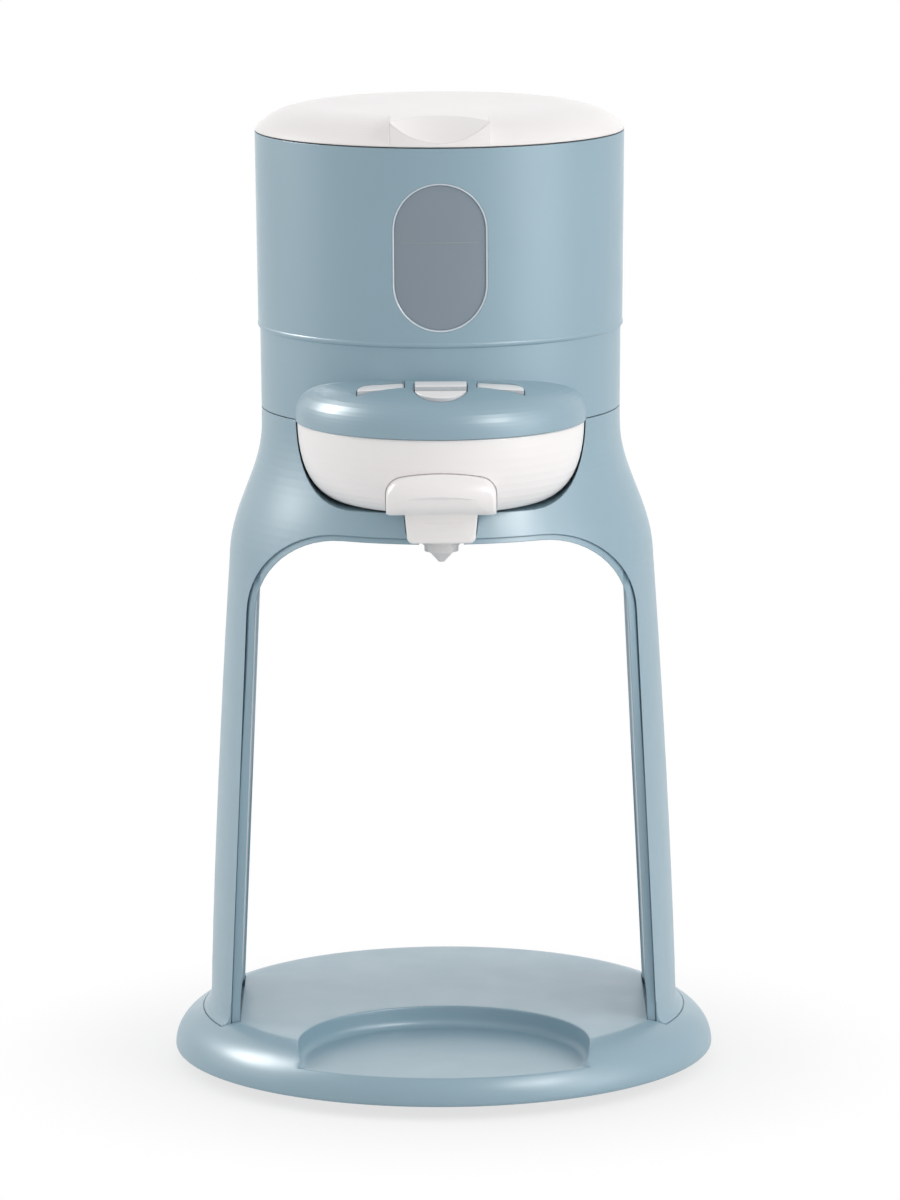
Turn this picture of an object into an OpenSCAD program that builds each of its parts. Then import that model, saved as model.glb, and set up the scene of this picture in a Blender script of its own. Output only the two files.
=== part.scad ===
// Formula water warmer: a water tank and a heater in a round head, held over a bottle by an arch on a round base.
// Millimetres, +Z up, the front faces -Y. The origin is on the ground at the centre of the base.

/* [Base] */
// Diameter of the base at its widest
base_d = 210; // [206:1:222]
// Height of the flat top of the base above the ground
base_top_z = 22.8; // [21.6:0.2:25]
// Radius of the flat top, where the rolled rim starts
base_flat_r = 88; // [86:0.5:90]
// Height of the widest point of the rim
rim_z = 6.4; // [5.8:0.1:8]
// Wall thickness of the base cover
base_wall = 2.6; // [2:0.1:3]
// Thickness of the plate that closes the base from below
plate_t = 2.2; // [1.8:0.1:2.6]
// Radius of the rubber feet
foot_pad_r = 7; // [5:0.5:9]
// Height that the feet lift the base cover off the ground
ground_gap = 5.2; // [4:0.1:5.4]

/* [Bottle recess] */
// Radius of the recess that a bottle stands in
recess_r = 55.6; // [50:0.5:58]
// Distance of the recess centre in front of the base centre
recess_y = 70.2; // [68:0.5:74]
// Depth of the recess below the flat top
recess_depth = 8.1; // [6:0.1:9]
// Height of the front lip above the recess floor
lip_h = 1; // [0.6:0.1:1.6]
// Radius of the inner face of the front lip, about the base centre
lip_r = 98.5; // [97:0.5:99.5]
// Radius of the fillet between the recess floor and its wall
recess_fillet = 3; // [1:0.5:4]
// Rounding of the recess's upper edge
recess_edge_r = 1.2; // [0.6:0.1:1.6]

/* [Arch] */
// Radius of the stand at the base top
foot_r = 91; // [90:0.5:91.6]
// Radius of the stand at the shoulder
shoulder_r = 82; // [81:0.5:83]
// Height of the shoulder, where the legs turn into the neck
shoulder_z = 200; // [198:1:202]
// Wall thickness of the stand shell
stand_wall = 2.6; // [2:0.1:3]
// Half of the opening between the legs, at the base top
arch_half_w = 78.9; // [77:0.1:79.4]
// Height of the top of the arch opening
arch_top_z = 216; // [213:0.5:217]
// Radius of the upper corners of the opening
arch_corner_r = 34; // [30:0.5:37]
// Lean of the inner leg faces, in degrees
leg_lean = 2.7; // [2.4:0.05:3]
// Width of a leg, front to back
leg_w = 75.6; // [70:0.2:77]
// Thickness of the liner on the legs
liner_w = 3.2; // [2.6:0.1:3.4]
// Thickness of the liner under the arch
liner_t = 2; // [1.8:0.1:2.2]
// Depth of the sunk panel in the liner
panel_depth = 0.8; // [0.4:0.1:1]

/* [Head] */
// Height of the seam between the stand and the head
seam_z = 258.5; // [257.5:0.5:260]
// Radius of the head at that seam
head_low_r = 69.1; // [68.6:0.1:69.6]
// Height of the ridge between the control housing and the tank housing
ridge_z = 290.4; // [289:0.2:296]
// Height of the top edge of the head
head_top_z = 364.4; // [360:0.5:376]
// Radius of the head at its top edge
head_top_r = 70.85; // [70.4:0.05:71.4]
// How much narrower the tank housing is at the ridge than at its top edge
head_flare = 0.75; // [0.4:0.05:1.2]
// Wall thickness of the head's mouldings
head_wall = 2.6; // [2.2:0.1:2.8]

/* [Window] */
// Width of the window
window_w = 34.2; // [28:0.2:38]
// Height of the window
window_h = 54.6; // [46:0.2:58]
// Height of the window's centre above the ridge
window_rise = 32.9; // [31:0.1:36]

/* [Tank] */
// Wall thickness of the water tank
tank_wall = 1.8; // [1.4:0.1:2.2]
// Depth of the tank below its rim
tank_depth = 78.8; // [74:0.2:80]

/* [Lid] */
// Height of the lid's flat top above its lower edge
lid_rise = 9.3; // [8.8:0.1:10.4]
// Radius at which the flat top starts to roll down
lid_flat_r = 44; // [38:0.5:48]
// Width of the finger tab
tab_w = 37.4; // [30:0.2:44]
// Radius of the scoop in the tab
scoop_r = 30; // [26:0.5:38]
// Height of the scoop's lowest point above the lid's lower edge
scoop_rise = 1.5; // [1.2:0.1:2.2]
// Radius of the hinge pin
pin_r = 1.75; // [1.4:0.05:1.9]

/* [Hood and drawer] */
// Distance of the hood's and drawer's axis in front of the head's axis
drawer_y = 41.4; // [40.4:0.2:42]
// Radius of the hood at its lower edge
hood_r = 55.2; // [55:0.1:56]
// Squareness of the hood's section, where 2 is an ellipse
hood_power = 3; // [2.4:0.1:3.4]
// Height of the hood above the seam
hood_rise = 19.5; // [19:0.1:20.5]
// Radius of the drawer bowl at its top
bowl_r = 54.5; // [54:0.1:54.8]
// Radius of the drawer bowl's flat floor
bowl_floor_r = 35; // [33.5:0.5:37]
// Depth of the drawer bowl
bowl_depth = 29.8; // [29.4:0.1:30]
// Wall thickness of the drawer bowl
bowl_wall = 2; // [1.6:0.1:2.2]
// Gap between the drawer bowl and its bay
bay_gap = 0.5; // [0.4:0.05:0.8]
// Wall thickness of the drawer bay
bay_wall = 1.6; // [1.2:0.1:1.8]

/* [Handle and nozzle] */
// Width of the drawer's handle
handle_w = 41.2; // [36:0.2:46]
// Height of the handle's arched top above the bowl's floor
handle_rise = 17.6; // [17:0.1:18.4]
// How far the handle stands out from the bowl's radius
handle_reach = 7; // [5:0.2:8]
// Width of the spout cover under the handle, at its top
neck_w = 27.6; // [24:0.2:30]
// How far the spout cover reaches below the bowl's floor
neck_drop = 9.6; // [9:0.1:10.2]
// Distance of the nozzle's axis in front of the base centre
nozzle_y = 70; // [69.6:0.1:70.2]
// Radius of the nozzle's flange
nozzle_r = 7.2; // [6.8:0.1:7.3]
// How far the nozzle's tip lies below the bowl's floor
nozzle_drop = 19.5; // [18.6:0.1:22]

/* [Keys] */
// Width of the two middle keys
key_mid_w = 19.4; // [16:0.2:21]
// Width of the two side keys
key_side_w = 17.5; // [15:0.1:18.5]
// Gap between a middle key and a side key
key_spacing = 4; // [3.4:0.1:5]
// Depth of a key, front to back
key_depth = 8.3; // [7.4:0.1:8.5]
// Gap round each key
key_gap = 0.35; // [0.25:0.05:0.5]
// Travel of a key
key_travel = 0.7; // [0.4:0.05:0.8]

/* [Inside] */
// Radius of the boiler
boiler_r = 15.5; // [13:0.5:16]
// Radius of the pump
pump_r = 12.5; // [10:0.5:13]
// Outer radius of the water hoses
hose_r = 3.4; // [3:0.1:3.8]
// Radius of the barbs that the hoses push onto
barb_r = 2.2; // [1.8:0.05:2.4]
// Radius of the cord's bore in its grommet
cord_r = 3.6; // [3:0.1:4]

/* [Hidden] */
$fn = 96;

blue = [0.59, 0.69, 0.74];
white = [0.93, 0.92, 0.91];
smoke = [0.50, 0.52, 0.55, 0.7];
clear = [0.80, 0.84, 0.86, 0.5];
rubber_grey = [0.20, 0.20, 0.21];
steel = [0.72, 0.73, 0.75];
board_green = [0.10, 0.36, 0.22];
dark_plastic = [0.16, 0.17, 0.18];
hose_white = [0.88, 0.88, 0.86, 0.8];

// Clearances: pieces of one body that slip together, pieces that move past each other, and a pin in its bore
fit = 0.1;
slide_gap = 0.3;
pin_gap = 0.04;
// Longer than the whole object, for cuts that run right through
through = 400;

base_r = base_d / 2;
plate_z = ground_gap + 0.4;
plate_top_z = plate_z + plate_t;
base_in_z = base_top_z - base_wall;
cover_mouth_r = base_r - 5.2;
// The rim's section is part of an ellipse, so a soft crease marks the edge of the flat top
rim_turn = 75;
rim_half_w = (base_r - base_flat_r) / (1 - cos(rim_turn));
rim_half_h = (base_top_z - rim_z) / sin(rim_turn);
rim_mid_r = base_r - rim_half_w;
rim_edge_r = 1.2;
recess_floor_z = base_top_z - recess_depth;
lip_z = recess_floor_z + lip_h;
// The legs stand in shallow pockets of the base cover
leg_seat_z = base_top_z - 2.4;
leg_pad_z = base_top_z - 5.8;
skirt_r = foot_r + 2.9;
skirt_z = base_top_z - 1.7;
anchor_top_z = base_top_z + 22;
anchor_w = 52;
leg_screw_r = 1.5;
leg_screw_x = arch_half_w + liner_w + 2.4;
leg_screw_y = 16;

stand_top_z = seam_z - 0.4;
flange_z = stand_top_z - 2.7;
deck_z = stand_top_z - 0.1;
deck_top_z = deck_z + 2.4;
deck_r = head_low_r - head_wall - 0.3;
flange_in_r = deck_r - 9.2;
liner_top_z = arch_top_z + liner_t;
chassis_z = liner_top_z + 3;
chassis_top_z = chassis_z + 2.2;

bowl_top_z = deck_z - 0.4;
bowl_floor_z = bowl_top_z - bowl_depth;
nozzle_tip_z = bowl_floor_z - nozzle_drop;
neck_z = bowl_floor_z - neck_drop;
notch_gap = 0.5;

runner_w = 4;
runner_l = 44;
runner_x = 22;
runner_seat = 0.8;

ridge_r = head_top_r - head_flare;
// The control housing ends this much inside the ridge
ridge_step = 0.7;
hood_wall = 2.4;
key_bottom_z = seam_z + 9.6;
key_lug_t = 1.2;
switch_h = 3.2;
board_t = 1.6;
board_z = key_bottom_z - key_travel - 0.2 - switch_h - board_t;
key_rear_y = -drawer_y - 31.5;
key_front_y = key_rear_y - key_depth - 0.6;
key_side_y = -drawer_y - 27;
key_front_depth = key_depth - 0.6;
key_side_x = key_mid_w / 2 + key_spacing;
// Height of each key's rear edge above the hood
key_proud = 0.5;

tank_ledge_z = head_top_z - 3.4;
tank_floor_z = tank_ledge_z + 1.8 - tank_depth;
tank_top_out_r = head_top_r - head_wall - 2.05;
tank_low_out_r = ridge_r - head_wall - 3.1;
tank_floor_t = 2.2;
tank_flange_r = head_top_r - 1.45;
window_z = ridge_z + window_rise;

lid_z = head_top_z + 0.5;
lid_top_z = lid_z + lid_rise;
spigot_r = tank_top_out_r - tank_wall - 0.8;
spigot_depth = 4;
hinge_y = head_top_r + 4.4;
hinge_z = head_top_z - 1.9;
knuckle_r = pin_r + 1.85;
knuckle_half = 9.3;
ear_in = knuckle_half + slide_gap;
ear_out = ear_in + 5;

// On a half-millimetre grid, so that the hose bends meet their straights exactly
boiler_y = round(2 * (bay_rear_y() + 2.8 + boiler_r)) / 2;
boiler_top_z = chassis_top_z + 27;
pump_x = boiler_r + pump_r + 10;
pump_y = boiler_y - 5.5;
pump_top_z = chassis_top_z + 22.8;
transfer_z = pump_top_z - 3;
hose_in_r = barb_r + 0.02;
hose_bend_r = 10;
hose_run_z = tank_floor_z - hose_r - 1.6;
bore_r = barb_r - 0.9;
grommet_z = seam_z - 11.5;
power_board_l = 34;
power_board_h = 27;

plate_screw_places = ring_points(base_r - 21, [0, 60, 120, 180, 240, 300]);
plate_screw_r = 1.4;
plate_screw_len = recess_floor_z - plate_z - 2.7;
foot_places = ring_points(base_r - 25, [45, 135, 225, 315]);
foot_seat = 0.8;
deck_screw_angles = [8, 62, 118, 172];
deck_post_r = deck_r - 4.7;
deck_screw_places = ring_points(deck_post_r, deck_screw_angles);
deck_screw_r = 1.4;
chassis_front_y = boiler_y - boiler_r - 1.4;
chassis_posts = [[-boiler_r - 12, boiler_y - 11], [boiler_r + 3.5, boiler_y - 15],
    [-boiler_r - 10, boiler_y + 17], [boiler_r + 6, boiler_y + 18]];

function bay_rear_y() = bowl_r + bay_gap + bay_wall - drawer_y;

// Points of a cubic curve from a to d, steered by b and c
function curve(a, b, c, d, steps) = [
    for (i = [0:steps])
        let (t = i / steps, s = 1 - t)
            s * s * s * a + 3 * s * s * t * b + 3 * s * t * t * c + t * t * t * d
];

// Points of an elliptical arc
function oval(cx, cz, rx, rz, from, to, steps) = [
    for (i = [0:steps])
        let (t = from + (to - from) * i / steps)
            [cx + rx * cos(t), cz + rz * sin(t)]
];

// Section of the rim from an angle up to the crease, shrunk by inset
function rim_arc(inset, from) =
    oval(rim_mid_r, rim_z, rim_half_w - inset, rim_half_h - inset, from, rim_turn, 14);

// Outline of the stand, from the base top up to the seam, as radius and height
function stand_outline(inset) = concat(
    curve(
        [foot_r - inset, base_top_z],
        [(foot_r * 7 + shoulder_r) / 8 - inset, base_top_z + (shoulder_z - base_top_z) * 0.28],
        [(foot_r * 3 + shoulder_r * 5) / 8 - inset, base_top_z + (shoulder_z - base_top_z) * 0.73],
        [shoulder_r - inset, shoulder_z], 10),
    curve(
        [shoulder_r - inset * 0.98, shoulder_z + 1],
        [shoulder_r - 1.1 - inset * 0.9, shoulder_z + 21],
        [head_low_r - inset * 0.9, shoulder_z + 33],
        [head_low_r - inset, shoulder_z + 52], 16)
);

// Outline of the drawer bowl, from its top edge to its floor
function bowl_outline(grow) = curve(
    [bowl_r + grow, bowl_top_z],
    [bowl_r - 0.3 + grow, bowl_top_z - bowl_depth / 2],
    [bowl_r - 4.5 + grow * 1.4, bowl_floor_z + 0.8 - grow * 1.2],
    [bowl_floor_r, bowl_floor_z - grow * 1.18], 12);

// Height of the hood's surface at a distance from the hood's axis
function hood_height(r) =
    seam_z + hood_rise * pow(1 - pow(r / hood_r, hood_power), 1 / hood_power);

// Section of the hood from its lower edge to its top, shrunk by inset, with close points at both ends
function hood_outline(inset) = [
    for (i = [0:24])
        let (t = 45 * (1 - cos(180 * i / 24)))
            [(hood_r - inset) * pow(cos(t), 2 / hood_power),
                seam_z + (hood_rise - inset) * pow(sin(t), 2 / hood_power)]
];

// The stand as a solid of revolution, shrunk by inset
module stand_body(inset, low_z, high_z) {
    rotate_extrude()
        polygon(concat([[0, low_z], [foot_r - inset, low_z]], stand_outline(inset),
            [[head_low_r - inset, high_z], [0, high_z]]));
}

// The flared skirt round the foot of each leg
module foot_flare() {
    rotate_extrude()
        polygon(concat([[foot_r - stand_wall, leg_seat_z], [skirt_r, leg_seat_z]],
            curve([skirt_r, skirt_z], [foot_r + 0.8, skirt_z + 0.9], [foot_r, skirt_z + 2.2],
                [foot_r - 0.1, skirt_z + 6.5], 6),
            [[foot_r - stand_wall, skirt_z + 6.5]]));
}

// Front view of the arch opening, grown by side at the legs and by top at its apex
function arch_outline(side, top) =
    let (
        corner_r = arch_corner_r + (side + top) / 2,
        corner_z = arch_top_z + top - corner_r,
        corner_x = arch_half_w + side - (corner_z - base_top_z) * tan(leg_lean) - corner_r / cos(leg_lean),
        ground_x = arch_half_w + side + base_top_z * tan(leg_lean)
    )
    concat([[-ground_x, 0], [ground_x, 0]],
        oval(corner_x, corner_z, corner_r, corner_r, leg_lean, 90, 14),
        oval(-corner_x, corner_z, corner_r, corner_r, 90, 180 - leg_lean, 14));

module tunnel(side, top) {
    translate([0, through / 2, 0])
        rotate([90, 0, 0])
            linear_extrude(through)
                polygon(arch_outline(side, top));
}

// The space that the drawer needs to slide out to the front, grown by grow
module drawer_path(grow) {
    side = bowl_outline(grow);
    reach = 120;
    translate([0, -drawer_y, 0]) {
        rotate_extrude()
            polygon(concat([[0, seam_z + 10], [bowl_r + grow, seam_z + 10]], side, [[0, side[12][1]]]));
        rotate([90, 0, 0])
            linear_extrude(reach)
                polygon(concat([[bowl_r + grow, seam_z + 10]], side,
                    [for (i = [len(side) - 1:-1:0]) [-side[i][0], side[i][1]]],
                    [[-bowl_r - grow, seam_z + 10]]));
    }
}

// The way out for the nozzle, from its place to the front
module nozzle_slot(half_w, low_z, high_z) {
    translate([0, -nozzle_y, low_z])
        cylinder(h = high_z - low_z, r = half_w);
    translate([-half_w, -nozzle_y - 60, low_z])
        cube([2 * half_w, 60, high_z - low_z]);
}

// Front view of the spout cover, grown by grow, as a prism that starts behind it and runs forward
module neck_prism(grow) {
    top = neck_w / 2 + grow;
    low = top - 0.9;
    low_z = neck_z - grow;
    corner = 2.4 + grow;
    front_prism()
        polygon(concat([[top, bowl_floor_z + 2], [-top, bowl_floor_z + 2]],
            oval(corner - low, low_z + corner, corner, corner, 180, 270, 6),
            oval(low - corner, low_z + corner, corner, corner, 270, 360, 6)));
}

// Front view of the handle's wide part, grown by grow, as a prism that runs forward
module grip_prism(grow) {
    half = handle_w / 2 + grow;
    top_z = bowl_floor_z + handle_rise + grow;
    low_z = bowl_floor_z + 0.4 - grow;
    crown_r = 70;
    corner = 7.4 + grow;
    low_corner = 1.2 + grow;
    corner_z = top_z - crown_r + sqrt(pow(crown_r - corner, 2) - pow(half - corner, 2));
    turn = acos((half - corner) / (crown_r - corner));
    front_prism()
        polygon(concat(oval(low_corner - half, low_z + low_corner, low_corner, low_corner, 180, 270, 4),
            oval(half - low_corner, low_z + low_corner, low_corner, low_corner, 270, 360, 4),
            oval(half - corner, corner_z, corner, corner, 0, turn, 6),
            oval(0, top_z - crown_r, crown_r, crown_r, turn, 180 - turn, 10),
            oval(corner - half, corner_z, corner, corner, 180 - turn, 180, 6)));
}

// Extrudes a front view forward from just behind the spout cover
module front_prism() {
    translate([0, -nozzle_y - 4, 0])
        rotate([90, 0, 0])
            linear_extrude(60)
                children();
}

// An upright obround prism along Y, centred on the window
module obround(grow, near_y, far_y) {
    half_w = window_w / 2 + grow;
    straight = window_h - window_w;
    translate([0, far_y, window_z])
        rotate([90, 0, 0]) {
            translate([-half_w, -straight / 2, 0])
                cube([2 * half_w, straight, far_y - near_y]);
            for (end = [-straight / 2, straight / 2])
                translate([0, end, 0])
                    cylinder(h = far_y - near_y, r = half_w);
        }
}

// The tank housing's outer body as a solid, shrunk by inset
module tank_housing_body(inset) {
    translate([0, 0, ridge_z])
        cylinder(h = head_top_z - ridge_z, r1 = ridge_r - inset, r2 = head_top_r - inset);
}

// A straight screw that points up, with its head at z
module screw(x, y, z, shank_r, length, head_r, head_h) {
    translate([x, y, z - head_h])
        cylinder(h = head_h, r = head_r);
    translate([x, y, z])
        cylinder(h = length, r = shank_r);
}

function ring_points(r, angles) = [for (a = angles) [r * cos(a), r * sin(a)]];

module base_cover() color(blue) {
    difference() {
        union() {
            difference() {
                rotate_extrude()
                    polygon(concat([[0, ground_gap], [cover_mouth_r - 0.6, ground_gap]],
                        oval(base_r - rim_edge_r, rim_z, rim_edge_r, rim_z - ground_gap, -90, 0, 5),
                        rim_arc(0, 5), [[0, base_top_z]]));
                rotate_extrude()
                    polygon(concat([[0, 0], [cover_mouth_r, 0], [cover_mouth_r, plate_top_z]],
                        rim_arc(base_wall, 10), [[0, base_in_z]]));
            }
            recess_pan();
            leg_pads();
            for (p = plate_screw_places)
                translate([p[0], p[1], plate_top_z])
                    cylinder(h = recess_floor_z - 1 - plate_top_z, r = 3.8);
            for (p = [for (q = plate_screw_places) if (q[1] > -10) q])
                translate([p[0], p[1], plate_top_z])
                    cylinder(h = base_in_z + 0.5 - plate_top_z, r = 3.8);
        }
        recess_space();
        leg_pockets();
        for (p = plate_screw_places)
            translate([p[0], p[1], 0])
                cylinder(h = plate_z + 1 + plate_screw_len + 0.4, r = plate_screw_r + 0.05);
        for (side = [-1, 1], y = [-leg_screw_y, leg_screw_y])
            translate([side * leg_screw_x, y, leg_pad_z - 1])
                cylinder(h = 10, r = leg_screw_r + 0.15);
    }
}

// The space of the bottle recess: a round pocket with a fillet round its floor and a rounded upper edge,
// closed in front by the lip
module recess_space() {
    flare_r = recess_r + recess_edge_r;
    intersection() {
        translate([0, -recess_y, 0])
            rotate_extrude()
                polygon(concat([[0, recess_floor_z]],
                    oval(recess_r - recess_fillet, recess_floor_z + recess_fillet,
                        recess_fillet, recess_fillet, -90, 0, 8),
                    oval(flare_r, base_top_z - recess_edge_r, recess_edge_r, recess_edge_r, 180, 102, 5),
                    [[flare_r + 0.1, base_top_z + 0.1], [flare_r + 0.1, base_top_z + 10],
                        [0, base_top_z + 10]]));
        union() {
            cylinder(h = through, r = lip_r);
            translate([0, 0, lip_z])
                cylinder(h = through, r = base_r + 5);
        }
    }
}

// The walls and the floor under the recess
module recess_pan() {
    intersection() {
        translate([0, -recess_y, recess_floor_z - base_wall])
            cylinder(h = base_top_z - recess_floor_z + base_wall, r = recess_r + base_wall);
        rotate_extrude()
            polygon(concat([[0, plate_top_z + 0.3], [cover_mouth_r, plate_top_z + 0.3]],
                rim_arc(0.5, 12), [[0, base_top_z]]));
    }
}

// Thick places under the legs
module leg_pads() {
    for (side = [-1, 1])
        intersection() {
            translate([side * (foot_r - 4) - 12, -leg_w / 2 - 2, leg_pad_z])
                cube([24, leg_w + 4, base_in_z + 0.3 - leg_pad_z]);
            cylinder(h = through, r = skirt_r + 2);
        }
}

// Shallow pockets that the legs stand in
module leg_pockets() {
    for (side = [-1, 1])
        intersection() {
            translate([side > 0 ? arch_half_w - 0.2 : -base_r, -leg_w / 2 - 0.9, leg_seat_z])
                cube([base_r - arch_half_w + 0.2, leg_w + 1.8, 10]);
            cylinder(h = through, r = skirt_r + 0.35);
        }
}

module base_plate() color(dark_plastic) {
    difference() {
        translate([0, 0, plate_z])
            cylinder(h = plate_t, r = cover_mouth_r - slide_gap);
        for (p = plate_screw_places)
            translate([p[0], p[1], 0]) {
                cylinder(h = 20, r = plate_screw_r + 0.1);
                cylinder(h = plate_z + 1, r = 3);
            }
        for (p = foot_places)
            translate([p[0], p[1], 0])
                cylinder(h = plate_z + foot_seat, r = foot_pad_r + fit);
    }
}

module rubber_feet() color(rubber_grey) {
    for (p = foot_places)
        translate([p[0], p[1], 0])
            rotate_extrude()
                polygon([[0, 0], [foot_pad_r - 2, 0], [foot_pad_r - 1.2, 0.3], [foot_pad_r - 0.9, 0.9],
                    [foot_pad_r, plate_z - 0.6], [foot_pad_r, plate_z + foot_seat],
                    [0, plate_z + foot_seat]]);
}

module base_screws() color(steel) {
    for (p = plate_screw_places)
        screw(p[0], p[1], plate_z + 1, plate_screw_r, plate_screw_len, 2.7, 0.9);
}

module leg_anchors() color(steel) {
    for (side = [-1, 1])
        difference() {
            intersection() {
                stand_body(stand_wall + 0.05, leg_seat_z, seam_z);
                translate([side > 0 ? 20 : -20 - base_r, -anchor_w / 2, leg_seat_z])
                    cube([base_r, anchor_w, anchor_top_z - leg_seat_z]);
            }
            tunnel(liner_w + 0.05, liner_t);
            for (y = [-leg_screw_y, leg_screw_y])
                translate([side * leg_screw_x, y, 0])
                    cylinder(h = anchor_top_z - 4, r = leg_screw_r + 0.05);
        }
}

module leg_screws() color(steel) {
    for (side = [-1, 1], y = [-leg_screw_y, leg_screw_y])
        screw(side * leg_screw_x, y, leg_pad_z, leg_screw_r, 18, 2.9, 1.6);
}

module stand_shell() color(blue) {
    difference() {
        union() {
            difference() {
                union() {
                    stand_body(0, leg_seat_z, stand_top_z);
                    foot_flare();
                }
                stand_body(stand_wall, 0, seam_z + 5);
            }
            top_flange();
        }
        tunnel(liner_w + fit, liner_t + fit);
        drawer_path(bay_gap);
        neck_prism(notch_gap);
        nozzle_slot(nozzle_r + 1.2, arch_top_z - 20, bowl_floor_z);
        for (side = [-1, 1])
            translate([-base_r, side > 0 ? leg_w / 2 + 0.6 : -leg_w / 2 - 0.6 - 60, 0])
                cube([2 * base_r, 60, base_top_z + 7]);
        translate([0, 40, grommet_z])
            rotate([-90, 0, 0])
                cylinder(h = 60, r = cord_r + 1.25);
    }
}

// Inner flange that the head deck rests on, with the holes of the deck screws
module top_flange() {
    difference() {
        translate([0, 0, flange_z])
            cylinder(h = deck_z - flange_z, r = head_low_r - stand_wall + 0.5);
        translate([0, 0, flange_z - 1])
            cylinder(h = 10, r = flange_in_r);
        for (p = deck_screw_places)
            translate([p[0], p[1], flange_z - 1])
                cylinder(h = 10, r = deck_screw_r + 0.1);
        drawer_path(bay_gap + bay_wall + fit);
    }
}

// Plan of what is taken off the liner in front of and behind the legs
module liner_trim() {
    start_x = arch_half_w - 9.9;
    round_r = 6;
    for (mirror_x = [0, 1], mirror_y = [0, 1])
        mirror([mirror_x, 0, 0])
            mirror([0, mirror_y, 0])
                linear_extrude(through)
                    polygon(concat([[base_r, leg_w / 2], [base_r, base_r], [start_x, base_r]],
                        oval(start_x + round_r, leg_w / 2 + round_r, round_r, round_r, 180, 270, 8)));
}

module arch_liner() color(blue) {
    panel_half = leg_w / 2 - 4.8;
    difference() {
        union() {
            difference() {
                intersection() {
                    stand_body(panel_depth, leg_seat_z, stand_top_z);
                    tunnel(liner_w, liner_t);
                }
                tunnel(0, 0);
                liner_trim();
            }
            for (p = chassis_posts)
                translate([p[0], p[1], liner_top_z - 0.5])
                    cylinder(h = chassis_z - liner_top_z + 0.5, r = 3.2);
        }
        intersection() {
            tunnel(panel_depth, panel_depth);
            stand_body(5.5, leg_seat_z - 5, stand_top_z);
            union() {
                translate([-base_r, -panel_half, 0])
                    cube([2 * base_r, 2 * panel_half, through]);
                translate([-62, -base_r, 0])
                    cube([124, 2 * base_r, through]);
            }
        }
        neck_prism(notch_gap);
        nozzle_slot(nozzle_r + 1.2, arch_top_z - 20, bowl_floor_z);
        for (p = chassis_posts)
            translate([p[0], p[1], liner_top_z - 0.8])
                cylinder(h = 20, r = 1.3);
    }
}

module drawer_bay() color(dark_plastic) {
    intersection() {
        difference() {
            drawer_path(bay_gap + bay_wall);
            drawer_path(bay_gap);
            nozzle_slot(nozzle_r + 1, arch_top_z, bowl_floor_z);
            neck_prism(notch_gap);
            runner_strips(fit);
        }
        stand_body(stand_wall + 0.15, leg_seat_z, deck_z - 0.1);
    }
}

// The runners' shape and place, wider and longer by grow; their lower part is sunk in the bay's floor
module runner_strips(grow) {
    low_z = bowl_outline(bay_gap)[12][1] - runner_seat;
    for (side = [-1, 1])
        translate([side * runner_x - runner_w / 2 - grow, -drawer_y - runner_l / 2 - grow, low_z])
            cube([runner_w + 2 * grow, runner_l + 2 * grow, bowl_floor_z - slide_gap - low_z]);
}

// Two low-friction strips that the drawer's floor slides on
module drawer_runners() color(white) {
    runner_strips(0);
}

module chassis() color(dark_plastic) {
    difference() {
        intersection() {
            translate([0, 0, chassis_z])
                cylinder(h = chassis_top_z - chassis_z, r = deck_r - 1.6);
            translate([-base_r, chassis_front_y, chassis_z])
                cube([2 * base_r, base_r, 10]);
            stand_body(stand_wall + 0.6, leg_seat_z, seam_z);
        }
        for (p = chassis_posts)
            translate([p[0], p[1], chassis_z - 1])
                cylinder(h = 10, r = 1.35);
    }
}

module chassis_screws() color(steel) {
    for (p = chassis_posts)
        translate([p[0], p[1], 0]) {
            translate([0, 0, liner_top_z - 0.5])
                cylinder(h = chassis_top_z - liner_top_z + 0.5, r = 1.25);
            translate([0, 0, chassis_top_z])
                cylinder(h = 1.5, r = 2.6);
        }
}

module boiler() color(steel) {
    wall = 1;
    low_z = chassis_top_z;
    translate([0, boiler_y, 0])
        difference() {
            union() {
                rotate_extrude()
                    polygon([[0, low_z], [boiler_r + 2, low_z], [boiler_r + 2, low_z + 2],
                        [boiler_r, low_z + 2], [boiler_r, boiler_top_z - 4],
                        [boiler_r - 3, boiler_top_z - 1], [boiler_r - 8, boiler_top_z],
                        [barb_r, boiler_top_z], [barb_r, boiler_top_z + 7], [0, boiler_top_z + 7]]);
                transfer_line(barb_r, boiler_r - 1, boiler_r + 4);
            }
            rotate_extrude()
                polygon([[0, low_z + 2], [boiler_r - wall, low_z + 2], [boiler_r - wall, boiler_top_z - 4.5],
                    [boiler_r - 4, boiler_top_z - 2], [boiler_r - 9, boiler_top_z - wall],
                    [0, boiler_top_z - wall]]);
            translate([0, 0, boiler_top_z - 3])
                cylinder(h = 20, r = bore_r);
            transfer_line(bore_r, 2, boiler_r + 10);
            translate([0, 0, low_z - 1])
                cylinder(h = 10, r = 3.1);
        }
}

// A rod from the boiler's axis towards the pump, between two distances from that axis
module transfer_line(r, from, to) {
    turn = atan2(pump_y - boiler_y, pump_x);
    translate([0, 0, transfer_z])
        rotate([0, 90, turn])
            translate([0, 0, from])
                cylinder(h = to - from, r = r);
}

function pump_distance() = norm([pump_x, pump_y - boiler_y]);

module heating_element() color([0.55, 0.45, 0.35]) {
    translate([0, boiler_y, chassis_top_z + fit])
        cylinder(h = 19, r = 3.06);
}

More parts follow.
